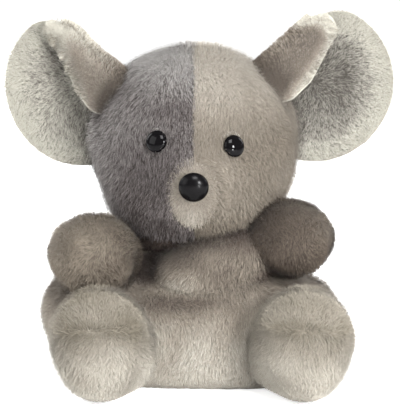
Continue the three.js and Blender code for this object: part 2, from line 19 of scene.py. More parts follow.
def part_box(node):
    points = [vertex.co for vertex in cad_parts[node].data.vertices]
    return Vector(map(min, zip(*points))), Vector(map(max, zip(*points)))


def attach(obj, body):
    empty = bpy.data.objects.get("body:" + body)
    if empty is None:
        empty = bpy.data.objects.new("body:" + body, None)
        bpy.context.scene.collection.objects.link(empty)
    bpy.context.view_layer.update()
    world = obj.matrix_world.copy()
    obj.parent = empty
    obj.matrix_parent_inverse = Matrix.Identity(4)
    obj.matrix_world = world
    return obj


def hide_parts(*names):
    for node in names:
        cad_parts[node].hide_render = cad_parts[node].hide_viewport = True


bl_info = {
    "name": "Plush mouse",
    "version": (1, 0, 0),
    "blender": (4, 5, 0),
    "location": "View3D > Sidebar > Plush mouse",
    "description": "Builds a sitting plush mouse with a pile of mesh strands around its packed frame",
    "category": "Add Mesh",
}

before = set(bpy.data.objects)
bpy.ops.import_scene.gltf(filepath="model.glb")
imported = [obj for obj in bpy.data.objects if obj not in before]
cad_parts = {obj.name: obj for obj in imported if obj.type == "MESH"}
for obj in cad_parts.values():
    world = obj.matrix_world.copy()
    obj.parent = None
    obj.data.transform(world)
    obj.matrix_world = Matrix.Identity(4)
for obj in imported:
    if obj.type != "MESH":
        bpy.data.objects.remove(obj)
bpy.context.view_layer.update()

MM = 0.001
SIDES = {"left": 1, "right": -1}
UP = np.array([0.0, 0.0, 1.0])
AHEAD = np.array([0.0, -1.0, 0.0])
FAR = 0.4  # further than any surface lies from its core
HALVINGS = 26  # how often a search for the surface halves its range
SLOPE_STEP = 0.05 * MM  # the step over which a surface's slope is measured
FINE, COARSE = 6, 5  # subdivisions of the balls that cloths and fillings are drawn from
CLOTH = 1.2 * MM  # thickness of the knitted backing under a pile
PATCH_RECESS = 1.8 * MM  # how far the cloth under a patch lies behind it
PATCH_TUCK = 0.4 * MM  # how far a patch's rim is tucked in
PATCH_CELLS = 30  # squares along a patch's grid
MOTTLE = 0.12  # how far a cloth's tone wanders over it


# Settings. A group's properties are named after their keys.


def named(group):
    """Gives each property of a group a name to be shown by."""
    for key, held in group.__annotations__.items():
        held.keywords["name"] = key.replace("_", " ").capitalize()
    return group


def number(description, values, **more):
    """A number, or several in one."""
    if len(values) == 1:
        return FloatProperty(description=description, default=values[0], **more)
    return FloatVectorProperty(description=description, default=values, size=len(values), **more)


def length(description, *millimetres):
    """A length, or several in one, given in millimetres."""
    return number(description, [v * MM for v in millimetres], unit="LENGTH", precision=5)


def share(description, *values):
    """A plain share or factor, or several in one."""
    return number(description, values, precision=3)


def power(description, watts):
    """A lamp's power."""
    return number(description, [watts], unit="POWER")


def angle(description, *degrees):
    """An angle, or several in one, given in degrees."""
    return number(description, [math.radians(v) for v in degrees], unit="ROTATION")


def colour(description, code):
    """A colour, given as a six-digit hex code and held as linear shares."""
    shares = [int(code[i : i + 2], 16) / 255 for i in (0, 2, 4)]
    linear = [c / 12.92 if c <= 0.04045 else ((c + 0.055) / 1.055) ** 2.4 for c in shares]
    return number(description, linear, subtype="COLOR", min=0, max=1)


def pile_fields(tints, strand, count, lift, tuft, clump, speckle, streak=1, scatter=0.3, width=0.12):
    """The properties of one pile, by their keys."""
    dark, middle, light = tints
    return dict(
        strand=length("Length of one strand", strand),
        width=length("Width of one strand at its middle", width),
        count=share("Strands on each square millimetre of cloth", count),
        lift=share("How steeply the strands stand: 0 is flat, and past 1 all are upright", lift),
        scatter=share("How far the strands stray from the nap's direction", scatter),
        tuft=length("Strands closer than this lean together", tuft),
        clump=share("How strongly neighbouring strands share their lean and tone", clump),
        speckle=share("How much the tone differs from strand to strand and tuft to tuft", speckle),
        streak=share("1 for round tufts, less for tufts drawn out upwards", streak),
        dark=colour("Colour of the strands where the cloth is darkest", dark),
        middle=colour("Colour of most of the strands", middle),
        light=colour("Colour of the strands where the cloth is lightest", light),
    )


@named
class LightHeadPile(PropertyGroup):
    """Pile of the light half of the head and of the muzzle."""

    __annotations__ = pile_fields(
        ("847a6d", "aca396", "dbd4c8"),
        strand=2.9, count=14, lift=0.42, tuft=0.9, clump=0.5, speckle=0.5, streak=0.45,
    )


@named
class DarkHeadPile(PropertyGroup):
    """Pile of the dark half of the head."""

    __annotations__ = pile_fields(
        ("4a4240", "8b8482", "c4c1bd"),
        strand=2.9, count=14, lift=0.42, tuft=0.8, clump=0.5, speckle=1.6, streak=0.45,
    )


@named
class EarBackPile(PropertyGroup):
    """Upright pile of the backs of the ears, which also show on the rolled flaps."""

    __annotations__ = pile_fields(
        ("6d6359", "aca194", "e4e0d3"),
        strand=2.0, count=16, lift=1.3, tuft=0.9, clump=0.9, speckle=1.5,
    )


@named
class EarLiningPile(PropertyGroup):
    """Short curly pile of the pale ear linings."""

    __annotations__ = pile_fields(
        ("67625b", "b4b0a6", "d3d0c3"),
        strand=1.6, count=24, lift=0.5, tuft=0.6, clump=1.6, speckle=1.9, scatter=0.45,
    )


@named
class ArmPile(PropertyGroup):
    """Short brown-grey pile of the arms."""

    __annotations__ = pile_fields(
        ("5a4f46", "8f8476", "b3a999"),
        strand=2.0, count=22, lift=0.5, tuft=0.8, clump=1.1, speckle=0.8, scatter=0.5,
    )


@named
class FootPile(PropertyGroup):
    """Pile of the feet and their soles."""

    __annotations__ = pile_fields(
        ("8f8778", "c0b9ac", "e2ddd1"),
        strand=2.6, count=16, lift=0.45, tuft=1.0, clump=0.35, speckle=0.16, streak=0.6,
    )


@named
class BodyPile(PropertyGroup):
    """Long pile of the body."""

    __annotations__ = pile_fields(
        ("5c4f48", "a59b8d", "dcd7cb"),
        strand=3.2, count=12, lift=0.38, tuft=1.1, clump=0.4, speckle=0.4, streak=0.5, width=0.13,
    )


@named
class TailPile(PropertyGroup):
    """Short pile of the tail."""

    __annotations__ = pile_fields(
        ("5f564c", "8f8476", "b0a596"),
        strand=1.5, count=14, lift=0.35, tuft=1.0, clump=1.0, speckle=0.4,
    )


EGG = "2 is an egg, more is boxier"
ROOM = "How far the cloth lies inside the pile's tips"


@named
class HeadSettings(PropertyGroup):
    """Shape of the head and muzzle."""

    half_depth: length("Half of the head's depth without the muzzle", 31)
    half_height: length("Half of the head's height", 31)
    squareness: share(EGG, 2.05)
    blend: length("Width of the soft join of muzzle and head", 5)
    jowl_half: length("Half of the lower head's width, depth and height", 28.8, 25, 20)
    jowl_place: length("The lower head's middle, from the head's", 0, 0, -14)
    jowl_squareness: share(EGG, 2.8)
    jowl_blend: length("Width of the soft join of the lower head and the crown", 2.5)
    muzzle_half: length("Half of the muzzle's width, depth and height", 12.5, 15, 12)
    muzzle_place: length("The muzzle's middle, from the head's", 0, -22, -10)
    patch_half: length("Half of the muzzle patch's width and height", 8.6, 12.6)
    patch_drop: length("Patch's middle under the head's", 15)
    room: length(ROOM, 1.2)
    seam_depth: length("How far the middle seam is drawn in", 0.4)
    seam_width: length("Half of the width of the middle seam's furrow", 1.3)


@named
class ButtonSettings(PropertyGroup):
    """The eyes and the nose."""

    eye_radius: length("Radius of an eye", 3.6)
    eye_bulge: length("How far an eye stands out", 2.6)
    eye_sink: length("How far an eye is drawn into the head", 0.8)
    eye_out: length("Each eye's distance from the middle", 12.7, 11.7)
    eye_rise: length("Each eye over the head's middle", 0.6, 2.1)
    socket: length("How deep the cloth is drawn in round an eye", 0.3)
    nose_radius: length("Radius of the nose", 4.8)
    nose_bulge: length("How far the nose stands out", 4.2)
    nose_drop: length("Nose under the head's middle", 11.4)
    nose_sink: length("How far the nose is drawn into the muzzle", 1.0)
    stalk_radius: length("Radius of a button's stalk", 1.3)
    stalk_length: length("Length of a button's stalk", 4.4)
    plastic: colour("Colour of the eyes and the nose", "080708")
    washer: colour("Colour of the lock washers", "d9d7d0")


@named
class EarSettings(PropertyGroup):
    """Shape and place of the ears."""

    radius: length("Radius of an ear's disc", 26)
    cup: length("How far the rim comes forward", 3)
    out: length("Each disc's middle outside the head", 9.6, 6.4)
    around: angle("Direction of each ear from the crown", 66.5, 66.5)
    back: length("Each ear's plane behind the head's middle", 3, 1.5)
    fold: length("Each fold's distance from the disc's middle", 17.3, 12.9)
    fold_bulge: length("How far each fold bulges out near its end", 0.3, 2.2)
    fold_line: angle("How steeply each fold climbs from the head", 40, 33)
    roll_radius: length("Radius of the roll at its middle", 3.8)
    roll_cone: share("How much wider the roll is at the head", 0.5)
    roll_turn: angle("How far the ear turns over at the fold", 164)
    roll_open: angle("How much further it turns at its outer end", 6)
    flap: length("Length of each flap beyond the roll at its middle", 12.4, 11)
    flap_most: length("Greatest length of each flap", 12.2, 12.3)
    flap_spread: share("How much longer each flap is at the head", 0.45, 0.55)
    flap_drop: length("How far the flap leans to the head", 2)
    flap_curl: length("How far the flap's edge bends back to the disc", 3)
    end_lean: length("How much shorter each flap is at its edge", 2.5, 4.5)
    corner: length("Rounding where each fold meets the rim", 8, 6)
    rim_band: length("Width of the pale lining turned over the flap's edge", 3)
    end_band: length("Width of the pale end of each flap", 6, 12)
    yaw: angle("How far each ear's rim goes back", 6, 16)
    cloth: length("Thickness of one layer of cloth", 0.8)


@named
class ArmSettings(PropertyGroup):
    """Shape of the arms."""

    half_left: length("Half of the left paw's width, depth and height", 14.2, 12.4, 12.4)
    half_right: length("Half of the right paw's width, depth and height", 15.2, 13.5, 13.5)
    inward: length("How much nearer the body each paw is held", 1.2, -1)
    raised: length("How much higher each paw is held", 2.8, 0)
    root: length("Radius of each arm at the shoulder", 10, 7)
    root_back: length("How far behind its paw an arm starts", 9)
    blend: length("Width of the soft join of paw and arm", 3)
    room: length(ROOM, 1.0)


@named
class FootSettings(PropertyGroup):
    """Shape of the feet."""

    half: length("Half of a foot's width, depth and height", 16, 17, 18.3)
    outward: length("How much further out each foot is", 1.4, 0)
    squareness: share(EGG, 2.2)
    taper: share("How much narrower a foot is at the floor", 0.24)
    sink: length("How far a foot is pressed on the floor", 0.5)
    leg_radius: length("Radius of the leg behind the foot", 12.5)
    leg_back: length("The leg's middle behind the foot's", 13)
    leg_in: length("The leg's middle nearer the body's", 5)
    blend: length("Width of the soft join of foot and leg", 4)
    room: length(ROOM, 1.2)
    crease_height: length("Height of the crease over the sole", 25.5)
    crease_width: length("Half of the width of the crease", 1.8)


@named
class BodySettings(PropertyGroup):
    """The bag of beans and the chest over it. Places are from the floor under the body's middle."""

    bag_half: length("Half of the bag's width, depth and height", 48, 33, 20)
    bag_place: length("The bag's middle", 0, 0, 14)
    bag_tilt: angle("How steeply the bag rises to the left", -3)
    bag_squareness: share(EGG, 3)
    chest_half: length("Half of the chest's width, depth and height", 28, 17, 18)
    chest_place: length("The chest's middle", 0, 0, 29.5)
    chest_squareness: share(EGG, 2.2)
    bib_half: length("Half of the width, depth and height of the fold under the chin", 22, 12, 9.5)
    bib_place: length("That fold's middle", 9.5, -16, 42)
    bib_tilt: angle("How steeply that fold rises to the left", 15)
    drape_half: length("Half of the width, depth and height of the slope beside that fold", 16, 14, 5)
    drape_place: length("That slope's middle", 20, -6, 33)
    drape_tilt: angle("How steeply that slope rises to the left", -14)
    drape_blend: length("Width of that slope's soft join with the bag", 4)
    corner_half: length("Half of the width, depth and height of the bag's upper corners", 13, 20, 12.5)
    left_corner: length("The left corner's middle", 27, 0, 22)
    right_corner: length("The right corner's middle", -38, 0, 22)
    blend: length("Width of the soft join of bag and chest", 1.6)
    core: length("Height from which the body's surface is found", 21)
    pouch_top: length("The bean pouch fills the bag up to here", 21)
    room: length(ROOM, 1.2)


@named
class NeckSettings(PropertyGroup):
    """The gathered cloth of the neck."""

    height: length("Height of the neck's middle", 48.3)
    back: length("The neck's middle behind the origin", 4)
    wad_radius: length("Radius of the wad of filling in the neck", 8.5)
    half: length("Half of the gathered cloth's width, depth and height", 22, 16, 6)
    drop: length("The gathered cloth's middle under the neck's", 1.5)


@named
class TailSettings(PropertyGroup):
    """Shape of the tail."""

    root_radius: length("Radius at the body", 3.6)
    tip_radius: length("Radius at the tip", 1.5)
    height: length("Height of the tail's middle line", 3.9)
    straight: length("Length of the straight stretch", 26)
    curl_radius: length("Radius of the curl", 19)
    curl: angle("How far the tail curls round", 110)
    rounding: share("Share of the length that rounds off the tip", 0.06)
    room: length(ROOM, 0.7)


@named
class FillingSettings(PropertyGroup):
    """What is inside the cloth."""

    skin: length("From the pile's tips to the filling", 3.6)
    lumps: length("Size of the filling's lumps", 7)
    lump_height: length("How uneven the filling is", 0.5)
    gap: length("Between the filling and the bean pouch", 0.4)
    pouch_cloth: length("Thickness of the bean pouch's cotton", 1)
    bean: length("Size of a bean", 3)
    fibre: colour("Colour of the filling", "f5f3ee")
    cotton: colour("Colour of the bean pouch", "e8e3d8")
    pellet: colour("Colour of the beans", "d8d6cc")
    thread: colour("Colour of the neck's thread", "8a857a")


@named
class StageSettings(PropertyGroup):
    """Camera, lamps and floor."""

    pixel: length("Real size of a pixel of the photograph at the toy", 0.334)
    distance: length("From the camera to the toy's middle", 650)
    elevation: angle("How far the camera looks down", 9)
    aim_side: length("Point at the middle of the view, to the left", 2)
    aim_height: length("Point at the middle of the view, over the floor", 58.4)
    long_side: IntProperty(description="Longer side of the photograph", default=404, subtype="PIXEL")
    key: power("Power of the large lamp over the front", 7)
    side: power("Power of the lamp at the side", 2.6)
    rim: power("Power of each of the two lamps behind", 5.5)
    spark: power("Power of the small lamp that glints in the eyes. A lower one has 0.3 of it", 2.9)
    world: share("Strength of the even light all round", 0.44)
    glow: share("Light that the floor adds to itself where it is seen", 0.7)
    floor: colour("Colour of the floor", "f6f6f6")


SETTINGS = {
    "mouse_light_head_pile": LightHeadPile,
    "mouse_dark_head_pile": DarkHeadPile,
    "mouse_ear_back_pile": EarBackPile,
    "mouse_ear_lining_pile": EarLiningPile,
    "mouse_arm_pile": ArmPile,
    "mouse_foot_pile": FootPile,
    "mouse_body_pile": BodyPile,
    "mouse_tail_pile": TailPile,
    "mouse_head": HeadSettings,
    "mouse_buttons": ButtonSettings,
    "mouse_ears": EarSettings,
    "mouse_arms": ArmSettings,
    "mouse_feet": FootSettings,
    "mouse_body": BodySettings,
    "mouse_neck": NeckSettings,
    "mouse_tail": TailSettings,
    "mouse_filling": FillingSettings,
    "mouse_stage": StageSettings,
}


def own(pair, side):
    """The left or the right one of a pair."""
    return pair[0] if side == "left" else pair[1]


# Rounded forms. A form is a core point and a field that is under 0 inside it.


def lump(middle, half, squareness=2.0, tilt=0.0, taper=0.0):
    """The field of a rounded block, narrower by the taper at its foot."""
    c, s = math.cos(tilt), math.sin(tilt)
    half = np.array(half, float)

    def field(points):
        x, y, z = (points - middle).T
        half_width = half[0] * (1 + taper * np.clip(z / half[2], -1, 0))
        across = np.abs((x * c + z * s) / half_width) ** squareness
        deep = np.abs(y / half[1]) ** squareness
        tall = np.abs((z * c - x * s) / half[2]) ** squareness
        return ((across + deep + tall) ** (1 / squareness) - 1) * min(half)

    return field


def ball(middle, radius):
    """The field of a ball."""
    return lump(middle, (radius, radius, radius))


def set_lump(s, key, start):
    """The field of the lump that a group describes under a key, at its place from a start."""
    half, spot = getattr(s, f"{key}_half"), np.array(getattr(s, f"{key}_place"), float)
    return lump(start + spot, half, getattr(s, f"{key}_squareness", 2.0), getattr(s, f"{key}_tilt", 0.0))


def blended(blend, *blocks):
    """The field of lumps joined with a soft crease about blend wide."""

    def field(points):
        return -blend * np.logaddexp.reduce([-f(points) / blend for f in blocks])

    return field


def reach(field, starts, directions):
    """How far from each start along each direction the field's surface lies."""
    near = np.zeros(len(directions))
    far = np.full(len(directions), FAR)
    for _ in range(HALVINGS):
        middle = (near + far) / 2
        inside = field(starts + directions * middle[:, None]) < 0
        near = np.where(inside, middle, near)
        far = np.where(inside, far, middle)
    return near


def surface_point(form, direction, start=None):
    """The point of a form's surface that lies along one direction."""
    core, field = form
    start = core if start is None else start
    direction = np.asarray(direction, float) / np.linalg.norm(direction)
    return start + direction * reach(field, start, direction[None])[0]


def outwards(form, points):
    """The direction straight out of a form at each point."""
    steps = np.eye(3) * SLOPE_STEP
    slopes = np.stack([form[1](points + d) - form[1](points - d) for d in steps], axis=-1)
    return slopes / np.linalg.norm(slopes, axis=-1, keepdims=True)


def unit(rows):
    """Vectors at length 1."""
    return rows / np.maximum(np.linalg.norm(rows, axis=-1, keepdims=True), 1e-12)


def vectors(x, y, z):
    """Rows of vectors from their three columns, or from numbers that all rows share."""
    return np.stack(np.broadcast_arrays(x, y, z), axis=-1)


def ripple(points, size, seed):
    """A smooth random value from about -1 to 1 at each point, in patches about size wide."""
    waves = 9
    rng = np.random.default_rng(seed)
    directions = unit(rng.normal(size=(waves, 3))) * rng.uniform(0.6, 1.5, (waves, 1))
    phases = rng.uniform(0, 2 * math.pi, waves)
    return np.sin(points @ (directions * math.pi / size).T + phases).sum(axis=1) / math.sqrt(waves / 1.2)


def hill(distance, width):
    """1 at distance 0, falling smoothly to 0 past width."""
    return np.exp(-((distance / width) ** 2))


def ramp(values, low, high):
    """A smooth step from 0 at low to 1 at high."""
    t = np.clip((values - low) / (high - low), 0, 1)
    return t * t * (3 - 2 * t)


def joined_box(*nodes):
    """Lowest and highest corner of several CAD nodes."""
    boxes = [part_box(n) for n in nodes]
    return np.min([b[0] for b in boxes], axis=0), np.max([b[1] for b in boxes], axis=0)


# Meshes


def coordinates(bm):
    """A bmesh's points as an array."""
    return np.array([v.co for v in bm.verts])


def place(bm, points):
    """Moves each vertex of a bmesh to its point."""
    for v, p in zip(bm.verts, points):
        v.co = p


def grown_ball(form, fineness, inset):
    """A ball of triangles drawn out to a form's surface, less inset."""
    bm = bmesh.new()
    bmesh.ops.create_icosphere(bm, subdivisions=fineness, radius=1)
    directions = unit(coordinates(bm))
    far = reach(form[1], form[0], directions) - inset
    place(bm, form[0] + directions * far[:, None])
    return bm


def keep_side(bm, point, normal):
    """Cuts a bmesh at a plane and keeps the side that the normal points away from."""
    geometry = bm.verts[:] + bm.edges[:] + bm.faces[:]
    bmesh.ops.bisect_plane(bm, geom=geometry, plane_co=point, plane_no=normal, clear_outer=True, dist=1e-7)


def cap(bm):
    """Closes the holes that cuts have left."""
    rims = [e for e in bm.edges if e.is_boundary]
    made = bmesh.ops.holes_fill(bm, edges=rims, sides=0)["faces"]
    bmesh.ops.triangulate(bm, faces=made)


def grid(columns, rows):
    """A flat grid of squares with corners from -1 to 1."""
    bm = bmesh.new()
    bmesh.ops.create_grid(bm, x_segments=columns, y_segments=rows, size=1)
    return bm


def linked(name, data):
    """A new object in the scene."""
    made = bpy.data.objects.new(name, data)
    bpy.context.scene.collection.objects.link(made)
    return made


def piece(name, bm, material, smooth=True):
    """An object of the finished bmesh, linked to the scene."""
    mesh = bpy.data.meshes.new(name)
    bm.to_mesh(mesh)
    bm.free()
    mesh.polygons.foreach_set("use_smooth", [smooth] * len(mesh.polygons))
    mesh.materials.append(material)
    return linked(name, mesh)


def note(made, name, values):
    """Stores one value or vector for each vertex under a name."""
    values = np.asarray(values, np.float32)
    kind, key = ("FLOAT_VECTOR", "vector") if values.ndim == 2 else ("FLOAT", "value")
    made.data.attributes.new(name, kind, "POINT").data.foreach_set(key, values.ravel())


def settle(made, body, nodes=()):
    """Lets a piece ride on a body, and hides the CAD nodes that it stands for."""
    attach(made, body)
    if nodes:
        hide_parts(*nodes)


# Pile: strands of mesh planted on cloth

STRAND = ((-0.02, 0, -0.1), (0.42, -0.5, 0.72), (1.0, 0, 0.95), (0.42, 0.5, 0.72))  # root, right, tip, left
STRAND_ALONG = (0, 0.5, 1, 0.5)  # each corner's share of the way to the tip
LENGTHS = (0.75, 1.15)  # factors between which the strands' lengths vary
WIDTHS = (0.75, 1.25)  # factors between which their widths vary
TUFT_LEAN, TUFT_LENGTH, TUFT_TONE = 3, 1.5, 3  # how strongly a tuft's noise turns, lengthens and tones it
SHORTEST = 0.4  # the shortest tuft's length as a share of the common one
RARITY = 5.0  # the higher, the fewer strands stand well up
LEAST_LIFT, MORE_LIFT = 0.75, 2.6  # factor of the lift for most strands, and what the rarest has on top
STEEPEST = 0.97  # the most that a tip rises off the cloth, as a share of the strand's length
TONE_STRAY = 0.8  # how far a strand's own tone strays
TONE_LIMIT, TONE_SHIFT = 0.35, 0.1  # the most that it lightens a strand, and what all get on top
FACING_STRAY = 0.3  # how far the way that strands face the light strays
ROOT_SHADE = (0.12, 0.34)  # painted shade deep in the pile: how light a root is, for each step of tone and at tone 0
TIP_SHADE = 0.85  # how light a tip is


def strand():
    """One strand: a leaf bent over its middle. X is along the nap, Z off the cloth, Y across."""
    found = bpy.data.objects.get("strand")
    if found:
        return found
    bm = bmesh.new()
    along = bm.verts.layers.float.new("along")
    cell = bm.loops.layers.uv.new("cell")
    bmesh.ops.create_circle(bm, cap_ends=True, segments=len(STRAND), radius=1)
    corners = list(bm.verts)
    place(bm, STRAND)
    for v, value in zip(corners, STRAND_ALONG):
        v[along] = value
    bmesh.ops.connect_verts(bm, verts=[corners[1], corners[3]])
    for f in bm.faces:
        for loop in f.loops:
            loop[cell].uv = (0.5 + 0.7 * loop.vert.co.y, 0.15 + 0.7 * loop.vert[along])
    mesh = bpy.data.meshes.new("strand")
    bm.to_mesh(mesh)
    bm.free()
    return bpy.data.objects.new("strand", mesh)


class NodeMaker:
    """Adds and links the nodes of one tree."""

    def __init__(self, tree):
        self.tree = tree

    def add(self, kind, inputs=None, **settings):
        """A node with some settings and inputs. An input is a value or another node's output socket."""
        node = self.tree.nodes.new(kind)
        for key, value in settings.items():
            setattr(node, key, value)
        for key, value in (inputs or {}).items():
            if isinstance(value, bpy.types.NodeSocket):
                self.tree.links.new(value, node.inputs[key])
            else:
                node.inputs[key].default_value = value
        return node

    def one(self, kind, inputs=None, **settings):
        """The first output of a new node."""
        return self.add(kind, inputs, **settings).outputs[0]

    def maths(self, operation, *values):
        return self.one("ShaderNodeMath", dict(enumerate(values)), operation=operation)

    def vector(self, operation, *values):
        return self.one("ShaderNodeVectorMath", dict(enumerate(values)), operation=operation)

    def scaled(self, vector, factor):
        return self.one("ShaderNodeVectorMath", {0: vector, "Scale": factor}, operation="SCALE")

    def ranged(self, value, low, high):
        """A value from 0 to 1, mapped to a range."""
        return self.one("ShaderNodeMapRange", {"Value": value, "To Min": low, "To Max": high})

    def noise(self, size, where, detail=2.0):
        """Noise in patches about size wide, as its node."""
        return self.add("ShaderNodeTexNoise", {"Vector": where, "Scale": 1 / size, "Detail": detail})

    def spot(self):
        """The place on the object that is shaded."""
        return self.add("ShaderNodeTexCoord").outputs["Object"]

    def noted(self, name):
        """In a material, a value noted on the mesh."""
        return self.add("ShaderNodeAttribute", attribute_name=name).outputs["Fac"]

    def named(self, name, kind="FLOAT"):
        """In geometry nodes, a value noted on the mesh."""
        return self.one("GeometryNodeInputNamedAttribute", {"Name": name}, data_type=kind)

    def random(self, low, high, seed):
        kind = "FLOAT_VECTOR" if isinstance(low, tuple) else "FLOAT"
        node = self.add("FunctionNodeRandomValue", data_type=kind)
        for key, value in (("Min", low), ("Max", high)):
            enabled(node.inputs, key).default_value = value
        node.inputs["Seed"].default_value = seed
        return enabled(node.outputs, "Value")

    def store(self, geometry, name, value, kind="FLOAT", domain="POINT"):
        inputs = {"Geometry": geometry, "Name": name}
        node = self.add("GeometryNodeStoreNamedAttribute", inputs, data_type=kind, domain=domain)
        self.tree.links.new(value, enabled(node.inputs, "Value"))
        return node.outputs[0]


def enabled(sockets, name):
    """The socket of a name that a node uses in its present kind."""
    return next(s for s in sockets if s.name == name and s.enabled)


def pile_tree(pile, cells, seed):
    """Geometry nodes that plant strands on a cloth by its noted comb, cover, long, stand and tone."""
    tree = bpy.data.node_groups.new("pile", "GeometryNodeTree")
    tree.interface.new_socket("Cloth", in_out="INPUT", socket_type="NodeSocketGeometry")
    tree.interface.new_socket("Pile", in_out="OUTPUT", socket_type="NodeSocketGeometry")
    make = NodeMaker(tree)
    density = make.maths("MULTIPLY", make.named("cover"), pile.count / MM**2)
    cloth = make.one("NodeGroupInput")
    planted = make.add("GeometryNodeDistributePointsOnFaces", {"Mesh": cloth, "Seed": seed})
    tree.links.new(density, planted.inputs["Density"])

    # The nap's direction, with a lean that tufts share and a stray of each strand's own
    spot = make.one("GeometryNodeInputPosition")
    tuft = make.noise(pile.tuft, make.vector("MULTIPLY", spot, (1, 1, pile.streak)))
    lean = make.vector("SUBTRACT", tuft.outputs["Color"], (0.5, 0.5, 0.5))
    lean = make.scaled(lean, pile.scatter * pile.clump * TUFT_LEAN)
    stray = make.random((-pile.scatter / 2,) * 3, (pile.scatter / 2,) * 3, seed + 1)
    ahead = make.vector("ADD", make.named("comb", "FLOAT_VECTOR"), make.vector("ADD", stray, lean))
    axes = {"Primary Axis": planted.outputs["Normal"], "Secondary Axis": ahead}
    turn = make.one("FunctionNodeAxesToRotation", axes, primary_axis="Z", secondary_axis="X")

    # Its length, how far it stands off the cloth (a few stand up straight) and its width
    long = make.maths("MULTIPLY", make.named("long"), make.random(*LENGTHS, seed + 3))
    clump = make.maths("SUBTRACT", tuft.outputs[0], 0.5)
    uneven = make.maths("MULTIPLY_ADD", clump, TUFT_LENGTH * pile.clump, 1.0)
    uneven = make.maths("MAXIMUM", uneven, SHORTEST)
    long = make.maths("MULTIPLY", make.maths("MULTIPLY", long, pile.strand), uneven)
    rare = make.maths("POWER", make.random(0.0, 1.0, seed + 4), RARITY)
    raised = make.maths("MULTIPLY_ADD", rare, MORE_LIFT, LEAST_LIFT)
    stand = make.maths("MULTIPLY", make.named("stand"), raised)
    stand = make.maths("MINIMUM", make.maths("MULTIPLY", stand, pile.lift), STEEPEST)
    lying = make.maths("SQRT", make.maths("SUBTRACT", 1.0, make.maths("MULTIPLY", stand, stand)))
    wide = make.maths("MULTIPLY", make.random(*WIDTHS, seed + 5), pile.width)
    sizes = {0: make.maths("MULTIPLY", long, lying), 1: wide, 2: make.maths("MULTIPLY", long, stand)}
    size = make.one("ShaderNodeCombineXYZ", sizes)

    # Its cell of the UV map, its own tone and the way it faces the light
    index = make.one("GeometryNodeInputIndex")
    points = make.store(planted.outputs["Points"], "cell_x", make.maths("MODULO", index, float(cells)))
    row = make.maths("FLOOR", make.maths("DIVIDE", index, float(cells)))
    points = make.store(points, "cell_y", row)
    tone = make.random(-TONE_STRAY, TONE_STRAY, seed + 6)
    # Tufts whose strands grow longer are lighter and shorter ones darker: partly random tone, partly
    # painted shade in the dips between tufts
    tone = make.maths("MULTIPLY_ADD", clump, TUFT_TONE * pile.clump, tone)
    tone = make.maths("ADD", make.maths("MINIMUM", tone, TONE_LIMIT), TONE_SHIFT)
    points = make.store(points, "own", tone)
    facing = make.random((-FACING_STRAY,) * 3, (FACING_STRAY,) * 3, seed + 7)
    facing = make.vector("ADD", planted.outputs["Normal"], facing)
    points = make.store(points, "facing", facing, "FLOAT_VECTOR")

    leaf = make.add("GeometryNodeObjectInfo", {"Object": strand()}).outputs["Geometry"]
    inputs = {"Points": points, "Instance": leaf, "Rotation": turn, "Scale": size}
    leaves = make.one("GeometryNodeInstanceOnPoints", inputs)
    real = make.one("GeometryNodeRealizeInstances", {"Geometry": leaves})
    corner = make.one("ShaderNodeCombineXYZ", {0: make.named("cell_x"), 1: make.named("cell_y")})
    spot = make.vector("ADD", corner, make.named("cell", "FLOAT_VECTOR"))
    spot = make.vector("MULTIPLY", spot, (1 / cells,) * 3)
    real = make.store(real, "OFBake", spot, "FLOAT2", "CORNER")
    shaded = make.add("GeometryNodeSetMeshNormal", {"Mesh": real}, mode="FREE")
    facing = make.vector("ADD", make.named("facing", "FLOAT_VECTOR"), make.one("GeometryNodeInputNormal"))
    tree.links.new(make.vector("NORMALIZE", facing), enabled(shaded.inputs, "Custom Normal"))
    tree.links.new(shaded.outputs[0], make.add("NodeGroupOutput").inputs[0])
    return tree


SPARE_NOTES = ("comb", "cover", "long", "stand", "cell_x", "cell_y", "cell", "facing")


def grow_pile(name, cloth, pile, material, seed):
    """A new piece: the pile of one panel of cloth, as real mesh."""
    most = sum(p.area for p in cloth.data.polygons) * pile.count / MM**2
    cells = math.ceil(math.sqrt(most * 1.1))
    tree = pile_tree(pile, cells, seed)
    made = linked(name, cloth.data)
    made.modifiers.new("pile", "NODES").node_group = tree
    evaluated = made.evaluated_get(bpy.context.evaluated_depsgraph_get())
    mesh = bpy.data.meshes.new_from_object(evaluated)
    made.modifiers.clear()
    made.data = mesh
    mesh.name = name
    bpy.data.node_groups.remove(tree)
    spots = np.empty(len(mesh.vertices) * 3, np.float32)
    mesh.vertices.foreach_get("co", spots)
    spots[2::3] = np.maximum(spots[2::3], 0)
    mesh.vertices.foreach_set("co", spots)
    for spare in SPARE_NOTES:
        if spare in mesh.attributes:
            mesh.attributes.remove(mesh.attributes[spare])
    mesh.materials.clear()
    mesh.materials.append(material)
    return made


def new_cloth(name, bm, pile):
    """A cloth in its backing's material, with its points and its normals as arrays."""
    cloth = piece(f"{name}_cloth", bm, backing_material(f"{name}_cloth", pile))
    arrays = []
    for held, key in ((cloth.data.vertices, "co"), (cloth.data.vertex_normals, "vector")):
        values = np.empty(len(held) * 3, np.float32)
        held.foreach_get(key, values)
        arrays.append(values.reshape(-1, 3).astype(float))
    return cloth, *arrays


def comb(made, nap, **notes):
    """Notes on a cloth how its pile lies: the nap's direction, and cover, long, stand and tone."""
    count = len(made.data.vertices)
    plain = {"cover": 1, "long": 1, "stand": 1, "tone": 0}
    for key, value in (plain | notes).items():
        note(made, key, np.broadcast_to(np.asarray(value, float), count))
    note(made, "comb", nap)


def finish_cloth(name, cloth, pile, fur, seed, body, slot, nodes=(), fill=0.9, wall=0.0):
    """Gives a combed cloth a wall inwards and its pile in the material fur, and settles both."""
    if wall:
        made = cloth.modifiers.new("wall", "SOLIDIFY")
        made.thickness = wall
        made.offset = -1
    settle(cloth, body, nodes)
    settle(grow_pile(f"{name}_pile", cloth, pile, fur, seed), body)


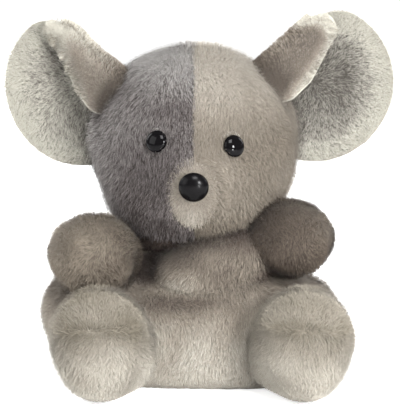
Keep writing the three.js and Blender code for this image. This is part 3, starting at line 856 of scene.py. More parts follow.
def swirled(nap, normals, points, size, amount, seed):
    """A nap whose direction wanders over the cloth, as a hand leaves it."""
    turn = ripple(points, size, seed) * amount
    level = unit(nap - normals * (nap * normals).sum(axis=1, keepdims=True))
    aside = np.cross(normals, level)
    return level * np.cos(turn)[:, None] + aside * np.sin(turn)[:, None]


def over_floor(points, reach_down):
    """How long strands may be near the floor: 1 well over it, short at it."""
    shortest = 0.12
    return np.clip((points[:, 2] + 0.6 * MM) / reach_down, shortest, 1)


# Materials


def new_material(name, roughness=0.5):
    """A material with its shader, and a maker for more nodes."""
    made = bpy.data.materials.new(name)
    made.use_nodes = True
    make = NodeMaker(made.node_tree)
    shader = next(n for n in made.node_tree.nodes if n.type == "BSDF_PRINCIPLED")
    shader.inputs["Roughness"].default_value = roughness
    return made, make, shader


def raise_bump(make, shader, height, strength, distance):
    """Lets a height raise a material's surface."""
    raised = make.one("ShaderNodeBump", {"Height": height, "Strength": strength, "Distance": distance})
    make.tree.links.new(raised, shader.inputs["Normal"])


def toned(make, tone, pile):
    """The pile's colour at a tone from -1, dark, to 1, light."""
    node = make.add("ShaderNodeValToRGB", {"Fac": make.maths("MULTIPLY_ADD", tone, 0.5, 0.5)})
    stops = node.color_ramp.elements
    stops.new(0.5)
    for stop, tint in zip(stops, (pile.dark, pile.middle, pile.light)):
        stop.color = (*tint, 1)
    return node.outputs["Color"]


def pile_material(name, pile, patch=9 * MM):
    """Soft fibres: darker at the cloth and lighter at the tips as painted shade deep in the pile, with
    strands and patches of their own tone.
    """
    made, make, shader = new_material(name, 0.8)
    along, tone, own_tone = make.noted("along"), make.noted("tone"), make.noted("own")
    patches = make.maths("SUBTRACT", make.noise(patch, make.spot()).outputs[0], 0.5)
    tone = make.maths("ADD", tone, make.maths("MULTIPLY", own_tone, pile.speckle))
    tone = make.maths("ADD", tone, make.maths("MULTIPLY", patches, 0.5))
    # Painted shade in the pile: each strand darkens from its tip to its root, less so where the cloth is
    # light
    low = make.maths("MULTIPLY_ADD", make.maths("MINIMUM", tone, 1.0), *ROOT_SHADE)
    depth = make.ranged(along, low, TIP_SHADE)
    make.tree.links.new(make.scaled(toned(make, tone, pile), depth), shader.inputs["Base Color"])
    shader.inputs["Specular IOR Level"].default_value = 0.2
    shader.inputs["Sheen Weight"].default_value = 0.12
    shader.inputs["Sheen Roughness"].default_value = 0.4
    return made


def soft_material(name, light, grain, shade=0.8):
    """Cloth, fibre or thread: a colour and its shade, mixed by a fine noise that also raises it, so that
    its hollows are darker as painted shade.
    """
    made, make, shader = new_material(name, 0.95)
    noise = make.noise(grain, make.spot(), 3.0).outputs[0]
    tints = {"Factor": noise, 6: (*(c * shade for c in light), 1), 7: (*light, 1)}
    mixed = make.add("ShaderNodeMix", tints, data_type="RGBA").outputs[2]
    make.tree.links.new(mixed, shader.inputs["Base Color"])
    raise_bump(make, shader, noise, 0.6, grain / 2)
    return made


def backing_material(name, pile):
    """The knitted backing under a pile, toned like it but darker, as painted shade under the pile."""
    made, make, shader = new_material(name, 0.95)
    tone = make.noted("tone")
    noise = make.noise(0.5 * MM, make.spot(), 3.0).outputs[0]
    # Painted shade: the backing is 0.45 to 0.75 of the pile's colour, darker where its bump is low
    depth = make.ranged(noise, 0.45, 0.75)
    make.tree.links.new(make.scaled(toned(make, tone, pile), depth), shader.inputs["Base Color"])
    raise_bump(make, shader, noise, 0.6, 0.3 * MM)
    return made


def plastic_material(name, tint, roughness, specular=0.5):
    """Moulded plastic with a fine unevenness in its gloss."""
    made, make, shader = new_material(name)
    noise = make.noise(0.5 * MM, make.spot()).outputs[0]
    rough = make.ranged(noise, roughness * 0.8, roughness * 1.3)
    make.tree.links.new(rough, shader.inputs["Roughness"])
    shader.inputs["Base Color"].default_value = (*tint, 1)
    shader.inputs["Specular IOR Level"].default_value = specular
    return made


def bean_material(name, tint, size):
    """Loose pellets with round tops, darker towards their edges as painted shade between them."""
    made, make, shader = new_material(name, 0.4)
    cells = make.add("ShaderNodeTexVoronoi", {"Vector": make.spot(), "Scale": 1 / size})
    apart = cells.outputs["Distance"]
    shade = make.maths("MULTIPLY_ADD", apart, -0.7, 1.05)
    make.tree.links.new(make.scaled((*tint,), shade), shader.inputs["Base Color"])
    raise_bump(make, shader, make.maths("SUBTRACT", 1.0, apart), 1.0, size / 3)
    return made


def finish_node(node, material):
    """Gives a carried-over CAD node its material."""
    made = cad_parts[node]
    if not made.material_slots:
        made.data.materials.append(material)
    for held in made.material_slots:
        held.material = material


# The mouse's forms, worked out from the frame


def head_form(s):
    """The head with its muzzle."""
    low, high = joined_box("head_panel_left", "head_panel_right")
    half_width = (high[0] - low[0]) / 2
    middle = np.array([(low[0] + high[0]) / 2, high[1] - s.half_depth, high[2] - s.half_height])
    skull = lump(middle, (half_width, s.half_depth, s.half_height), s.squareness)
    head = blended(s.jowl_blend, skull, set_lump(s, "jowl", middle))
    return middle, blended(s.blend, head, set_lump(s, "muzzle", middle))


def body_form(s):
    """The bag of beans with the chest on it, whose cloth folds over under the chin."""
    low, high = joined_box("body_front_panel", "body_back_panel")
    foot = np.array([0, (low[1] + high[1]) / 2, 0])
    bag, drape, chest, bib = (set_lump(s, key, foot) for key in ("bag", "drape", "chest", "bib"))
    spots = (s.left_corner, s.right_corner)
    corners = [lump(foot + np.array(spot, float), s.corner_half) for spot in spots]
    bag = blended(s.drape_blend, bag, drape)
    return foot + (0, 0, s.core), blended(s.blend, bag, chest, bib, *corners)


def arm_form(s, body, side):
    """A paw with its arm, which starts at the body's surface."""
    low, high = joined_box(f"arm_skin_{side}")
    half = getattr(s, f"half_{side}")
    x = own((high, low), side)[0] - SIDES[side] * half[0] - SIDES[side] * own(s.inward, side)
    paw = np.array([x, low[1] + half[1], high[2] - half[2] + own(s.raised, side)])
    shoulder = surface_point(body, paw - body[0]) + (0, s.root_back, 0)
    return paw, blended(s.blend, lump(paw, half), ball(shoulder, own(s.root, side)))


def foot_form(s, side):
    """A foot with its leg."""
    low, high = joined_box(f"foot_sole_{side}")
    x = (low[0] + high[0]) / 2 + own(s.outward, side)
    middle = np.array([x, low[1] + s.half[1], s.half[2] - s.sink])
    leg = np.array([x - SIDES[side] * s.leg_in, middle[1] + s.leg_back, s.leg_radius - s.sink])
    block = lump(middle, s.half, s.squareness, taper=s.taper)
    return middle, blended(s.blend, block, ball(leg, s.leg_radius))


def oval(points, middle, half):
    """How far out each point lies in an upright oval, seen from the front: under 1 is inside."""
    return np.hypot((points[:, 0] - middle[0]) / half[0], (points[:, 2] - middle[2]) / half[1])


def under_patch(points, middle, half):
    """1 where a panel is covered by a patch on its front, 0 elsewhere."""
    return np.where(points[:, 1] < middle[1], 1 - ramp(oval(points, middle, half), 0.78, 0.92), 0)


def oval_patch(form, middle, half, inset):
    """A patch of cloth with an oval outline, laid on the front of a form. Its rim is tucked in."""
    bm = grid(PATCH_CELLS, PATCH_CELLS)
    x, y, _ = coordinates(bm).T
    across = x * np.sqrt(1 - y**2 / 2) * half[0]
    up = y * np.sqrt(1 - x**2 / 2) * half[1]
    starts = middle + vectors(across, 0, up)
    far = reach(form[1], starts, np.tile(AHEAD, (len(x), 1)))
    points = starts + AHEAD * far[:, None]
    tuck = ramp(np.hypot(across / half[0], up / half[1]), 0.85, 1.0) * PATCH_TUCK
    place(bm, points - outwards(form, points) * (inset + tuck)[:, None])
    return bm


class MOUSE_OT_head(Operator):
    """Make the head's two side panels and the muzzle patch, with their pile"""

    bl_idname = "mouse.head"
    bl_label = "Head"

    def execute(self, context):
        scene = context.scene
        s = scene.mouse_head
        form = head_form(s)
        patch_middle = form[0] + (0, 0, -s.patch_drop)
        for side, sign in SIDES.items():
            pile = own((scene.mouse_light_head_pile, scene.mouse_dark_head_pile), side)
            bm = grown_ball(form, FINE, s.room)
            keep_side(bm, (0, 0, 0), (-sign, 0, 0))
            points = coordinates(bm)
            under = under_patch(points, patch_middle, s.patch_half)
            depth = hill(points[:, 0], s.seam_width) * s.seam_depth + under * PATCH_RECESS
            depth += self.sockets(points, form[0], scene.mouse_buttons)
            near_ear = hill(ear_distance(scene.mouse_ears, form, side, points), 2.5 * MM)
            depth += near_ear * 1.2 * MM
            place(bm, points - outwards(form, points) * depth[:, None])
            name = f"head_{side}"
            cloth, points, normals = new_cloth(name, bm, pile)
            nap, tone = self.comb_half(points, normals, form[0], s, sign)
            # The tone darkens where the ear meets the head, as painted shade
            comb(cloth, nap, cover=1 - under, tone=tone - 0.8 * near_ear)
            fur, panel = pile_material(f"{name}_pile", pile), f"head_panel_{side}"
            slot = own(("head_plush_light", "head_plush_dark"), side)
            finish_cloth(name, cloth, pile, fur, 11 + sign, "head", slot, [panel], wall=CLOTH)
        self.patch(scene, form, patch_middle)
        return {"FINISHED"}

    def sockets(self, points, middle, s):
        """How far the eyes draw the cloth in round them."""
        depth = np.zeros(len(points))
        for side, sign in SIDES.items():
            x, rise = sign * own(s.eye_out, side), own(s.eye_rise, side)
            far = np.hypot(points[:, 0] - x, points[:, 2] - middle[2] - rise)
            far = np.where(points[:, 1] < middle[1], far, 1)
            depth += hill(far, s.eye_radius * 1.4) * s.socket
        return depth

    def comb_half(self, points, normals, middle, s, sign):
        """The nap runs down the face, leaning a little outwards, and away from the patch."""
        x, y, z = ((points - middle) / s.half_height).T
        nap = vectors(0.45 * x, 0.15 * y, -1.0)
        patch_middle = middle - (0, 0, s.patch_drop)
        front = ramp(-y, 0.0, 0.5)
        if sign > 0:
            far = oval(points, patch_middle, s.patch_half)
            near = (0.5 * hill(np.maximum(far - 1, 0), 0.3) * front)[:, None]
            nap = nap * (1 - near) + unit((points - patch_middle) * (1, 0, 1)) * near
            # Painted light: lighter at the top and darker low down, for light from above and the sheen of
            # the nap; then a darker spot beside the eye and a lighter one nearer the muzzle
            tone = -0.74 + 1.36 * ramp(z, -0.1, 0.85) - 0.1 * ramp(-z, 0.3, 0.9)
            tone -= 0.25 * hill(np.hypot(x - 0.62, z - 0.15), 0.25) * front
            tone += 0.3 * hill(np.hypot(x - 0.2, z + 0.1), 0.22) * front
        else:
            # Painted light on the dark half too: lighter at the top, darker low at the front, and lighter
            # towards its outer side as painted rim light; then a darker spot low near the middle
            tone = -0.55 + 1.65 * ramp(z, 0.3, 1.0) - 0.25 * ramp(-z, -0.2, 0.5) * front
            tone += 0.75 * ramp(-x, 0.6, 1.05)
            tone -= 0.2 * hill(np.hypot(x + 0.25, z + 0.35), 0.35) * front
        nap = swirled(nap, normals, points, 13 * MM, 0.22, 3 + sign)
        return nap, tone + ripple(points, 10 * MM, 7) * MOTTLE

    def patch(self, scene, form, middle):
        """The light muzzle patch."""
        s, pile = scene.mouse_head, scene.mouse_light_head_pile
        bm = oval_patch(form, middle, s.patch_half, s.room)
        cloth, points, normals = new_cloth("muzzle", bm, pile)
        away = points - (middle + (0, 0, s.patch_drop - scene.mouse_buttons.nose_drop))
        nap = unit(away * (1, 0, 1)) + (0, 0.1, -0.15)
        nap = swirled(nap, normals, points, 8 * MM, 0.3, 5)
        tone = -0.05 - 0.25 * ramp(away[:, 0], -2 * MM, 6 * MM)
        tone += 0.4 * ramp(-away[:, 2], 4 * MM, 9 * MM) * hill(away[:, 0], 5 * MM)
        comb(cloth, nap, tone=tone, long=0.7)
        fur = pile_material("muzzle_pile", pile)
        finish_cloth("muzzle", cloth, pile, fur, 17, "head", "muzzle_plush", ["muzzle_panel"], wall=CLOTH)


BUTTON_BACK = 0.4 * MM  # height of a button's flat back over the cloth
BUTTON_EDGE = 0.25  # share of its bulge that is an upright edge
BUTTON_BACK_SHARE = 0.86  # its flat back's radius as a share of its own
BUTTON_RINGS, BUTTON_STEPS = 14, 48


def button(name, form, x, rise, radius, bulge, sink, s, material):
    """A moulded dome on a stalk, spun from its profile and set on the head's surface."""
    profile = [(0, -s.stalk_length), (s.stalk_radius, -s.stalk_length), (s.stalk_radius, BUTTON_BACK)]
    profile.append((radius * BUTTON_BACK_SHARE, BUTTON_BACK))
    for i in range(BUTTON_RINGS + 1):
        turn = i / BUTTON_RINGS * math.pi / 2
        height = BUTTON_BACK + bulge * (BUTTON_EDGE + (1 - BUTTON_EDGE) * math.sin(turn))
        profile.append((radius * math.cos(turn) if i < BUTTON_RINGS else 0, height))
    bm = bmesh.new()
    verts = [bm.verts.new((r, 0, h)) for r, h in profile]
    edges = [bm.edges.new(pair) for pair in zip(verts, verts[1:])]
    full = {"angle": 2 * math.pi, "steps": BUTTON_STEPS, "use_merge": True, "use_duplicate": False}
    bmesh.ops.spin(bm, geom=verts + edges, axis=(0, 0, 1), cent=(0, 0, 0), **full)
    bmesh.ops.remove_doubles(bm, verts=bm.verts, dist=1e-6)
    seat = surface_point(form, AHEAD, form[0] + (x, 0, rise))
    facing = outwards(form, seat[None])[0]
    seat = seat - facing * sink
    level = unit(np.cross(facing, UP))
    third = np.cross(facing, level)
    spots = coordinates(bm)
    place(bm, seat + spots[:, :1] * level + spots[:, 1:2] * third + spots[:, 2:] * facing)
    bmesh.ops.recalc_face_normals(bm, faces=bm.faces)
    return piece(name, bm, material)


class MOUSE_OT_buttons(Operator):
    """Make the two eyes and the nose, and finish their lock washers"""

    bl_idname = "mouse.buttons"
    bl_label = "Eyes and nose"

    def execute(self, context):
        s = context.scene.mouse_buttons
        form = head_form(context.scene.mouse_head)
        eye_black = plastic_material("eye_plastic", s.plastic, roughness=0.06, specular=0.1)
        nose_black = plastic_material("nose_plastic", s.plastic, roughness=0.24, specular=0.1)
        eye, nose = (s.eye_radius, s.eye_bulge, s.eye_sink), (s.nose_radius, s.nose_bulge, s.nose_sink)
        for side, sign in SIDES.items():
            x, rise = sign * own(s.eye_out, side), own(s.eye_rise, side)
            made = button(f"{side}_eye", form, x, rise, *eye, s, eye_black)
            settle(made, "head", [f"eye_{side}"])
        made = button("nose_button", form, 0, -s.nose_drop, *nose, s, nose_black)
        settle(made, "head", ["nose"])
        white = plastic_material("washer_plastic", s.washer, roughness=0.4)
        for node in ("eye_washer_left", "eye_washer_right", "nose_washer"):
            finish_node(node, white)
        return {"FINISHED"}


DISC_SHARE, ROLL_SHARE = 0.52, 0.2  # shares of an ear's columns on its disc and on its roll
EAR_COLUMNS, EAR_ROWS = 90, 64
EAR_STEP = 0.002  # a small step on an ear's grid, to find which way its cloth runs
EAR_TICKS = 50  # along each side of the grid that ear_distance measures from


def ear_place(s, form, side):
    """An ear's three axes, across the fold, along it and forward, and its disc's middle."""
    sign, around, lean = SIDES[side], own(s.around, side), own(s.fold_line, side)
    outward = np.array([sign * math.sin(around), 0, math.cos(around)])
    base = surface_point(form, outward, form[0] + (0, own(s.back, side), 0))
    across = np.array([-sign * math.sin(lean), 0, math.cos(lean)])
    along = np.array([sign * math.cos(lean), 0, math.sin(lean)])
    yaw = sign * own(s.yaw, side)
    c, n = math.cos(yaw), math.sin(yaw)
    turn = np.array([[c, -n, 0], [n, c, 0], [0, 0, 1]])
    axes = np.stack([across, along, AHEAD]) @ turn.T
    return axes, base + turn @ (outward * own(s.out, side))


def ear_distance(s, form, side, points):
    """How far each point lies from the cloth of the ear on its side."""
    axes, middle = ear_place(s, form, side)
    ticks = np.linspace(-1, 1, EAR_TICKS)
    u, v = (t.ravel() for t in np.meshgrid(ticks, ticks))
    spots = middle + ear_shape(s, side, 0, u, v)[0] @ axes
    tree = KDTree(len(spots))
    for i, spot in enumerate(spots):
        tree.insert(spot, i)
    tree.balance()
    return np.array([tree.find(p)[2] for p in points])


def ear_shape(s, side, depth, u, v):
    """Lays a grid from -1 to 1 on an ear's outline, at a depth in its thickness, and rolls it.

    Gives the points in the ear's own axes, and notes on each point's place on the cloth.
    """
    corner, lean = own(s.corner, side), own(s.end_lean, side)
    along = np.sin(v * math.pi / 2)
    flap_length = own(s.flap, side) * (1 - own(s.flap_spread, side) * along)
    flap_length = np.minimum(flap_length, own(s.flap_most, side))
    column = (u + 1) / 2
    roll_radius = s.roll_radius * (1 - s.roll_cone * along)
    start = own(s.fold, side) + own(s.fold_bulge, side) * hill(along - 0.7, 0.4) - roll_radius
    turn = s.roll_turn + s.roll_open * along
    turn_length = roll_radius * turn
    first = -math.pi / 2 + 0.02
    last = np.arcsin(start / s.radius)
    disc = s.radius * np.sin(first + (last - first) * np.clip(column / DISC_SHARE, 0, 1))
    roll = np.clip((column - DISC_SHARE) / ROLL_SHARE, 0, 1) * turn_length
    flap = np.clip((column - DISC_SHARE - ROLL_SHARE) / (1 - DISC_SHARE - ROLL_SHARE), 0, 1)
    flap_length = flap_length * (1 - 0.5 * ramp(-along, 0.3, 0.8))
    across = disc + roll + flap_length * flap
    past = across - start
    turned = np.clip(past / roll_radius, 0, turn)
    beyond = np.maximum(0, past - turn_length)
    radius = roll_radius - depth
    a = np.where(past <= 0, across, start + radius * np.sin(turned) + beyond * np.cos(turn))
    half_chord = np.sqrt(s.radius**2 - np.clip(np.where(past > 0, start, a), -s.radius, start) ** 2)
    inner = np.sqrt(s.radius**2 - np.clip(across, -s.radius, start) ** 2)
    near_top = np.clip((a - start - roll_radius + corner) / corner, 0, 1)
    rounded = half_chord - corner * (1 - np.sqrt(1 - near_top**2)) - 0.5 * MM * (past > 0) - lean * flap
    t = np.where(along > 0, rounded, inner) * along - s.flap_drop * flap
    cup = s.cup * (np.minimum(across, start) ** 2 + t**2) / s.radius**2
    rolled = cup + roll_radius - radius * np.cos(turned) + beyond * np.sin(turn) - s.flap_curl * flap**2
    w = np.where(past <= 0, depth + cup, rolled)
    to_edge = np.where(flap > 0, (1 - flap) * flap_length, 1)
    to_end = np.where(past > 0, rounded * (1 - along), 1)
    to_rim = np.minimum(half_chord * (1 - np.abs(along)), np.where(past < 0, across + s.radius, 1))
    notes = {"to_edge": to_edge, "to_end": to_end, "across": across, "t": t}
    notes["to_rim"] = np.minimum(to_rim, to_edge)
    return vectors(a, t, w), notes


def ear_flow(s, side, depth, u, v):
    """Two ways to comb an ear's cloth: outwards, and from the flap's edge back over the fold."""
    u, v = u * (1 - EAR_STEP), v * (1 - EAR_STEP)
    here, notes = ear_shape(s, side, depth, u, v)
    onward = unit(ear_shape(s, side, depth, u + EAR_STEP, v)[0] - here)
    aside = unit(ear_shape(s, side, depth, u, v + EAR_STEP)[0] - here)
    far = np.maximum(np.hypot(notes["across"], notes["t"]), 1e-6)
    aside = aside * (notes["t"] / far)[:, None]
    return onward * (notes["across"] / far)[:, None] + aside, 0.3 * aside - onward


class MOUSE_OT_ears(Operator):
    """Make the two ears, each a back and a lining with a rolled flap"""

    bl_idname = "mouse.ears"
    bl_label = "Ears"

    def execute(self, context):
        scene = context.scene
        s = scene.mouse_ears
        form = head_form(scene.mouse_head)
        for side, sign in SIDES.items():
            for layer, facing, pile, seed in (
                ("lining", 1, scene.mouse_ear_lining_pile, 31),
                ("back", -1, scene.mouse_ear_back_pile, 35),
            ):
                self.layer(s, form, side, layer, facing, pile, seed + sign)
        return {"FINISHED"}

    def layer(self, s, form, side, layer, facing, pile, seed):
        """One layer of one ear, on the side of the middle sheet that it faces."""
        axes, middle = ear_place(s, form, side)
        depth = facing * (s.cloth + 0.1 * MM)
        bm = grid(EAR_COLUMNS, EAR_ROWS)
        u, v, _ = coordinates(bm).T
        spots, notes = ear_shape(s, side, depth, u, v)
        place(bm, middle + spots @ axes)
        bm.normal_update()
        outer = min(bm.faces, key=lambda f: f.calc_center_median().dot(Vector(axes[0])))
        if (np.array(outer.normal) @ axes[2]) * facing < 0:
            bmesh.ops.reverse_faces(bm, faces=bm.faces)
        name = f"ear_{layer}_{side}"
        cloth, points, normals = new_cloth(name, bm, pile)
        nap = ear_flow(s, side, depth, u, v)[layer == "back"] @ axes
        if layer == "lining":
            nap = nap + (0, 0, -0.3)
            tone = self.lining_tone(s, side, notes, (middle - points)[:, 2] / s.radius)
        else:
            rim = 1 - ramp(notes["to_edge"], 0, s.rim_band * 2)
            end = 1 - ramp(notes["to_end"], own(s.end_band, side) * 0.5, own(s.end_band, side) * 1.5)
            nap = swirled(nap, normals, points, 3 * MM, 0.9 * np.maximum(rim, end), seed + 11)
            # Painted shadow: the back darkens towards the head
            plain = own((-0.65, 0), side) - 0.35 * ramp(-notes["t"], -5 * MM, 15 * MM)
            tone = plain + (0.65 - plain) * np.maximum(own((1, 0.5), side) * rim, 1.5 * end)
        # Painted shade where the ear meets the head
        tone = tone - 0.9 * hill(np.maximum(form[1](points), 0), 1.8 * MM)
        nap = swirled(nap, normals, points, 7 * MM, 0.3, seed + 10)
        cover = np.where(form[1](points) < -1.2 * MM, 0, 1)
        tone = tone + ripple(points, 7 * MM, 23) * MOTTLE
        comb(cloth, nap, cover=cover, tone=tone, stand=2 - ramp(notes["to_rim"], 0, 2 * MM))
        fur = pile_material(f"{name}_pile", pile, 6 * MM)
        body, slot, panel = f"ear_{side}", f"ear_{layer}_plush", f"ear_{layer}_{side}"
        finish_cloth(name, cloth, pile, fur, seed, body, slot, [panel], fill=0.2, wall=s.cloth)

    def lining_tone(self, s, side, notes, drop):
        """Pale at the rim and darker in the middle, with painted shade low down and a painted crease shadow
        in the right lining.
        """
        far = np.hypot(notes["across"], notes["t"]) / s.radius
        tone = 0.05 + 1.1 * ramp(far, 0.6, 0.92) - own((1.1, 0.2), side) * (1 - ramp(far, 0.35, 0.85))
        tone -= 0.5 * ramp(drop, 0.4, 1.0)
        if side == "right":
            # Painted shadow of a crease in the right lining
            crease_shadow = hill(notes["across"] - 0.3 * notes["t"], 1.2 * MM)
            tone -= 0.8 * crease_shadow * ramp(notes["t"], 8 * MM, 12 * MM)
        return tone


class MOUSE_OT_arms(Operator):
    """Make the two arms"""

    bl_idname = "mouse.arms"
    bl_label = "Arms"

    def execute(self, context):
        scene = context.scene
        s, pile = scene.mouse_arms, scene.mouse_arm_pile
        body = body_form(scene.mouse_body)
        for side, sign in SIDES.items():
            form = arm_form(s, body, side)
            name = f"arm_{side}"
            cloth, points, normals = new_cloth(name, grown_ball(form, FINE, s.room), pile)
            spot = (points - form[0]) / s.half_right[2]
            nap = spot * 0.4 + (sign * 0.4, -0.3, -0.9)
            nap = swirled(nap, normals, points, 6 * MM, 0.7, 41 + sign)
            cover = np.where(body[1](points) < -3 * MM, 0, 1)
            # Painted light and shade: lighter on top and on the outer side, darker below and towards the
            # body; the left arm is darker all over
            tone = 0.25 * spot[:, 2] + 0.35 * sign * spot[:, 0] + own((-1.0, -0.18), side)
            tone += ripple(points, 6 * MM, 43) * MOTTLE
            comb(cloth, nap, cover=cover, tone=tone)
            fur = pile_material(f"{name}_pile", pile, 5 * MM)
            finish_cloth(name, cloth, pile, fur, 45 + sign, name, "arm_plush", [f"arm_skin_{side}"])
        return {"FINISHED"}


class MOUSE_OT_feet(Operator):
    """Make the two feet with their soles"""

    bl_idname = "mouse.feet"
    bl_label = "Feet"

    def execute(self, context):
        scene = context.scene
        s, pile = scene.mouse_feet, scene.mouse_foot_pile
        body = body_form(scene.mouse_body)
        for side, sign in SIDES.items():
            form = foot_form(s, side)
            low, high = joined_box(f"foot_sole_{side}")
            half = ((high - low) / 2)[[0, 2]]
            middle = np.array([form[0][0], form[0][1], (low[2] + high[2]) / 2])
            name, sole = f"foot_{side}", f"sole_{side}"
            fur = pile_material(f"{name}_pile", pile, 7 * MM)
            bm = grown_ball(form, FINE, s.room)
            points = coordinates(bm)
            under = under_patch(points, middle, half)
            points -= outwards(form, points) * (under * PATCH_RECESS)[:, None]
            points[:, 2] = np.maximum(points[:, 2], 0.2 * MM)
            place(bm, points)
            cloth, points, normals = new_cloth(name, bm, pile)
            hidden = (body[1](points) < -1 * MM) | (points[:, 2] < 0.5 * MM)
            self.comb_foot(cloth, points, normals, form, s, sign, np.where(hidden, 0, 1 - under))
            held = {"body": name, "slot": "foot_plush", "fill": 0.85}
            finish_cloth(name, cloth, pile, fur, 55 + sign, nodes=[f"foot_upper_{side}"], **held)

            cloth, points, normals = new_cloth(sole, oval_patch(form, middle, half, s.room), pile)
            self.comb_foot(cloth, points, normals, form, s, sign, 1)
            finish_cloth(sole, cloth, pile, fur, 61 + sign, nodes=[f"foot_sole_{side}"], wall=CLOTH, **held)
        return {"FINISHED"}

    def comb_foot(self, cloth, points, normals, form, s, sign, cover):
        """The nap parts at the crease over the sole: up and back over it, down under it."""
        x, y, _ = ((points - form[0]) / s.half[0]).T
        over = points[:, 2] - (s.crease_height - 1.5 * MM * x**2 - 1 * MM * sign * x)
        front = ramp(-y, 0.1, 0.5)
        above = ramp(over, -2 * MM, 2 * MM)[:, None] * front[:, None]
        down, up = vectors(0.35 * x, 0.1 * y, -1.0), vectors(0.7 * x + 0.15, 0.8, 0.7)
        nap = swirled(down * (1 - above) + up * above, normals, points, 8 * MM, 0.25, 51 + sign)
        # Painted shadow along the crease over the sole, where the nap parts
        furrow_shade = hill(over, s.crease_width) * front * ramp(1 - np.abs(x), 0.05, 0.4)
        tone = -0.6 + 0.9 * ramp(-over, 1 * MM, 14 * MM) + 0.05 * ramp(over, 1 * MM, 4 * MM)
        tone -= furrow_shade * (0.3 - 0.2 * sign * x) + 0.1 * (1 - sign) * ramp(over, 1 * MM, 4 * MM)
        tone += ripple(points, 7 * MM, 53 + sign) * MOTTLE
        comb(cloth, nap, cover=cover, tone=tone, long=over_floor(points, 7 * MM))


class MOUSE_OT_body(Operator):
    """Make the body's front and back panels, the flat base and the gathered neck"""

    bl_idname = "mouse.body"
    bl_label = "Body"

    def execute(self, context):
        scene = context.scene
        s, pile = scene.mouse_body, scene.mouse_body_pile
        form = body_form(s)
        seam_y = (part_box("body_front_panel")[1][1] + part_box("body_back_panel")[0][1]) / 2
        base_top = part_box("base_panel")[1][2]
        held = {"body": "body", "slot": "body_plush", "fill": 0.7, "wall": CLOTH}
        for end, sign in (("front", -1), ("back", 1)):
            name = f"body_{end}"
            bm = grown_ball(form, FINE, s.room)
            keep_side(bm, (0, seam_y, 0), (0, -sign, 0))
            keep_side(bm, (0, 0, base_top), (0, 0, -1))
            points = coordinates(bm)
            seam = hill(points[:, 1] - seam_y, 2 * MM) * 0.8 * MM
            place(bm, points - outwards(form, points) * seam[:, None])
            cloth, points, normals = new_cloth(name, bm, pile)
            self.comb_body(cloth, points, normals, (points - form[0]) / s.bag_half[1], 71 + sign)
            fur = pile_material(f"{name}_pile", pile, 8 * MM)
            finish_cloth(name, cloth, pile, fur, 75 + sign, nodes=[f"{name}_panel"], **held)
        self.base(form, s, pile, base_top, held)
        self.neck(scene.mouse_neck, pile)
        return {"FINISHED"}

    def comb_body(self, cloth, points, normals, spot, seed):
        """The nap runs down, and sideways over the bag's shelf. The chest is brown and darker, partly
        painted shade under the head; the belly is pale.
        """
        x, y, z = points.T
        front = -y
        shelf = ramp(normals[:, 2], 0.35, 0.8) * ramp(-z, -36 * MM, -30 * MM)
        nap = vectors(0.25 * spot[:, 0], 0.1 * spot[:, 1], -1.0)
        nap += vectors(0.8 * spot[:, 0], -0.25, 0.0) * shelf[:, None]
        nap = swirled(nap, normals, points, 10 * MM, 0.35, seed)
        nap = swirled(nap, normals, points, 2.5 * MM, 0.8 * shelf, seed + 1)
        chest = ramp(z, 31 * MM, 37 * MM)
        # Painted shade in a furrow left of the fold under the chin
        furrow_shade = hill(x + 15 * MM, 4.5 * MM) * chest * ramp(front, 2 * MM, 8 * MM)
        low = ramp(-z, -28 * MM, -14 * MM)
        tone = -0.02 - 0.3 * shelf - 0.36 * chest + 0.54 * low
        # Painted shade: darker in that furrow and at the top of the chest, under the chin
        tone -= 1.5 * furrow_shade + 0.5 * ramp(z, 43 * MM, 49 * MM)
        tuft = hill((x + 3 * MM) / 1.5, 7 * MM) * hill(z - 36 * MM, 3.5 * MM) * ramp(front, 8 * MM, 14 * MM)
        tone += 0.7 * tuft + ripple(points, 9 * MM, seed + 2) * 0.14
        band = z - (28.7 * MM + 0.011 / MM * (x + 5 * MM) ** 2)  # a darker brown band under the fold at the chin, partly painted shade under that fold
        tone -= 0.3 * hill(band, 3 * MM) * ramp(front, 10 * MM, 16 * MM)
        long = over_floor(points, 8 * MM) * (1 + 0.25 * tuft)
        comb(cloth, nap, tone=tone, long=long, stand=1 + 0.8 * tuft + 0.3 * chest)

    def base(self, form, s, pile, top, held):
        """The flat base, drawn up to the panels all round."""
        bm = grown_ball(form, FINE, s.room)
        keep_side(bm, (0, 0, top), (0, 0, 1))
        points = coordinates(bm)
        points[:, 2] = np.maximum(points[:, 2], 0.15 * MM)
        place(bm, points)
        cloth, points, normals = new_cloth("base", bm, pile)
        cover = ramp(points[:, 2], 0.7 * MM, 1.3 * MM)
        comb(cloth, normals * (1, 1, 0), cover=cover, tone=0.6, long=0.2, stand=0.5)
        fur = pile_material("base_pile", pile)
        finish_cloth("base", cloth, pile, fur, 83, nodes=["base_panel"], **held)

    def neck(self, s, pile):
        """The cloth of head and body, gathered at the neck."""
        middle = np.array([0, s.back, s.height - s.drop])
        bm = grown_ball((middle, lump(middle, s.half)), FINE, 0)
        cloth, points, _ = new_cloth("neck", bm, pile)
        # Painted shade: the neck is dark all over, where the head shades it
        comb(cloth, points - middle + (0, 0, -0.4 * s.half[0]), tone=-1.2, long=0.7)
        fur = pile_material("neck_pile", pile)
        finish_cloth("neck", cloth, pile, fur, 87, "neck", "body_plush", fill=0.8)


TAIL_RINGS, TAIL_SEGMENTS = 110, 24
TAIL_TICKS = 80  # points of the tail's middle line that its nap follows


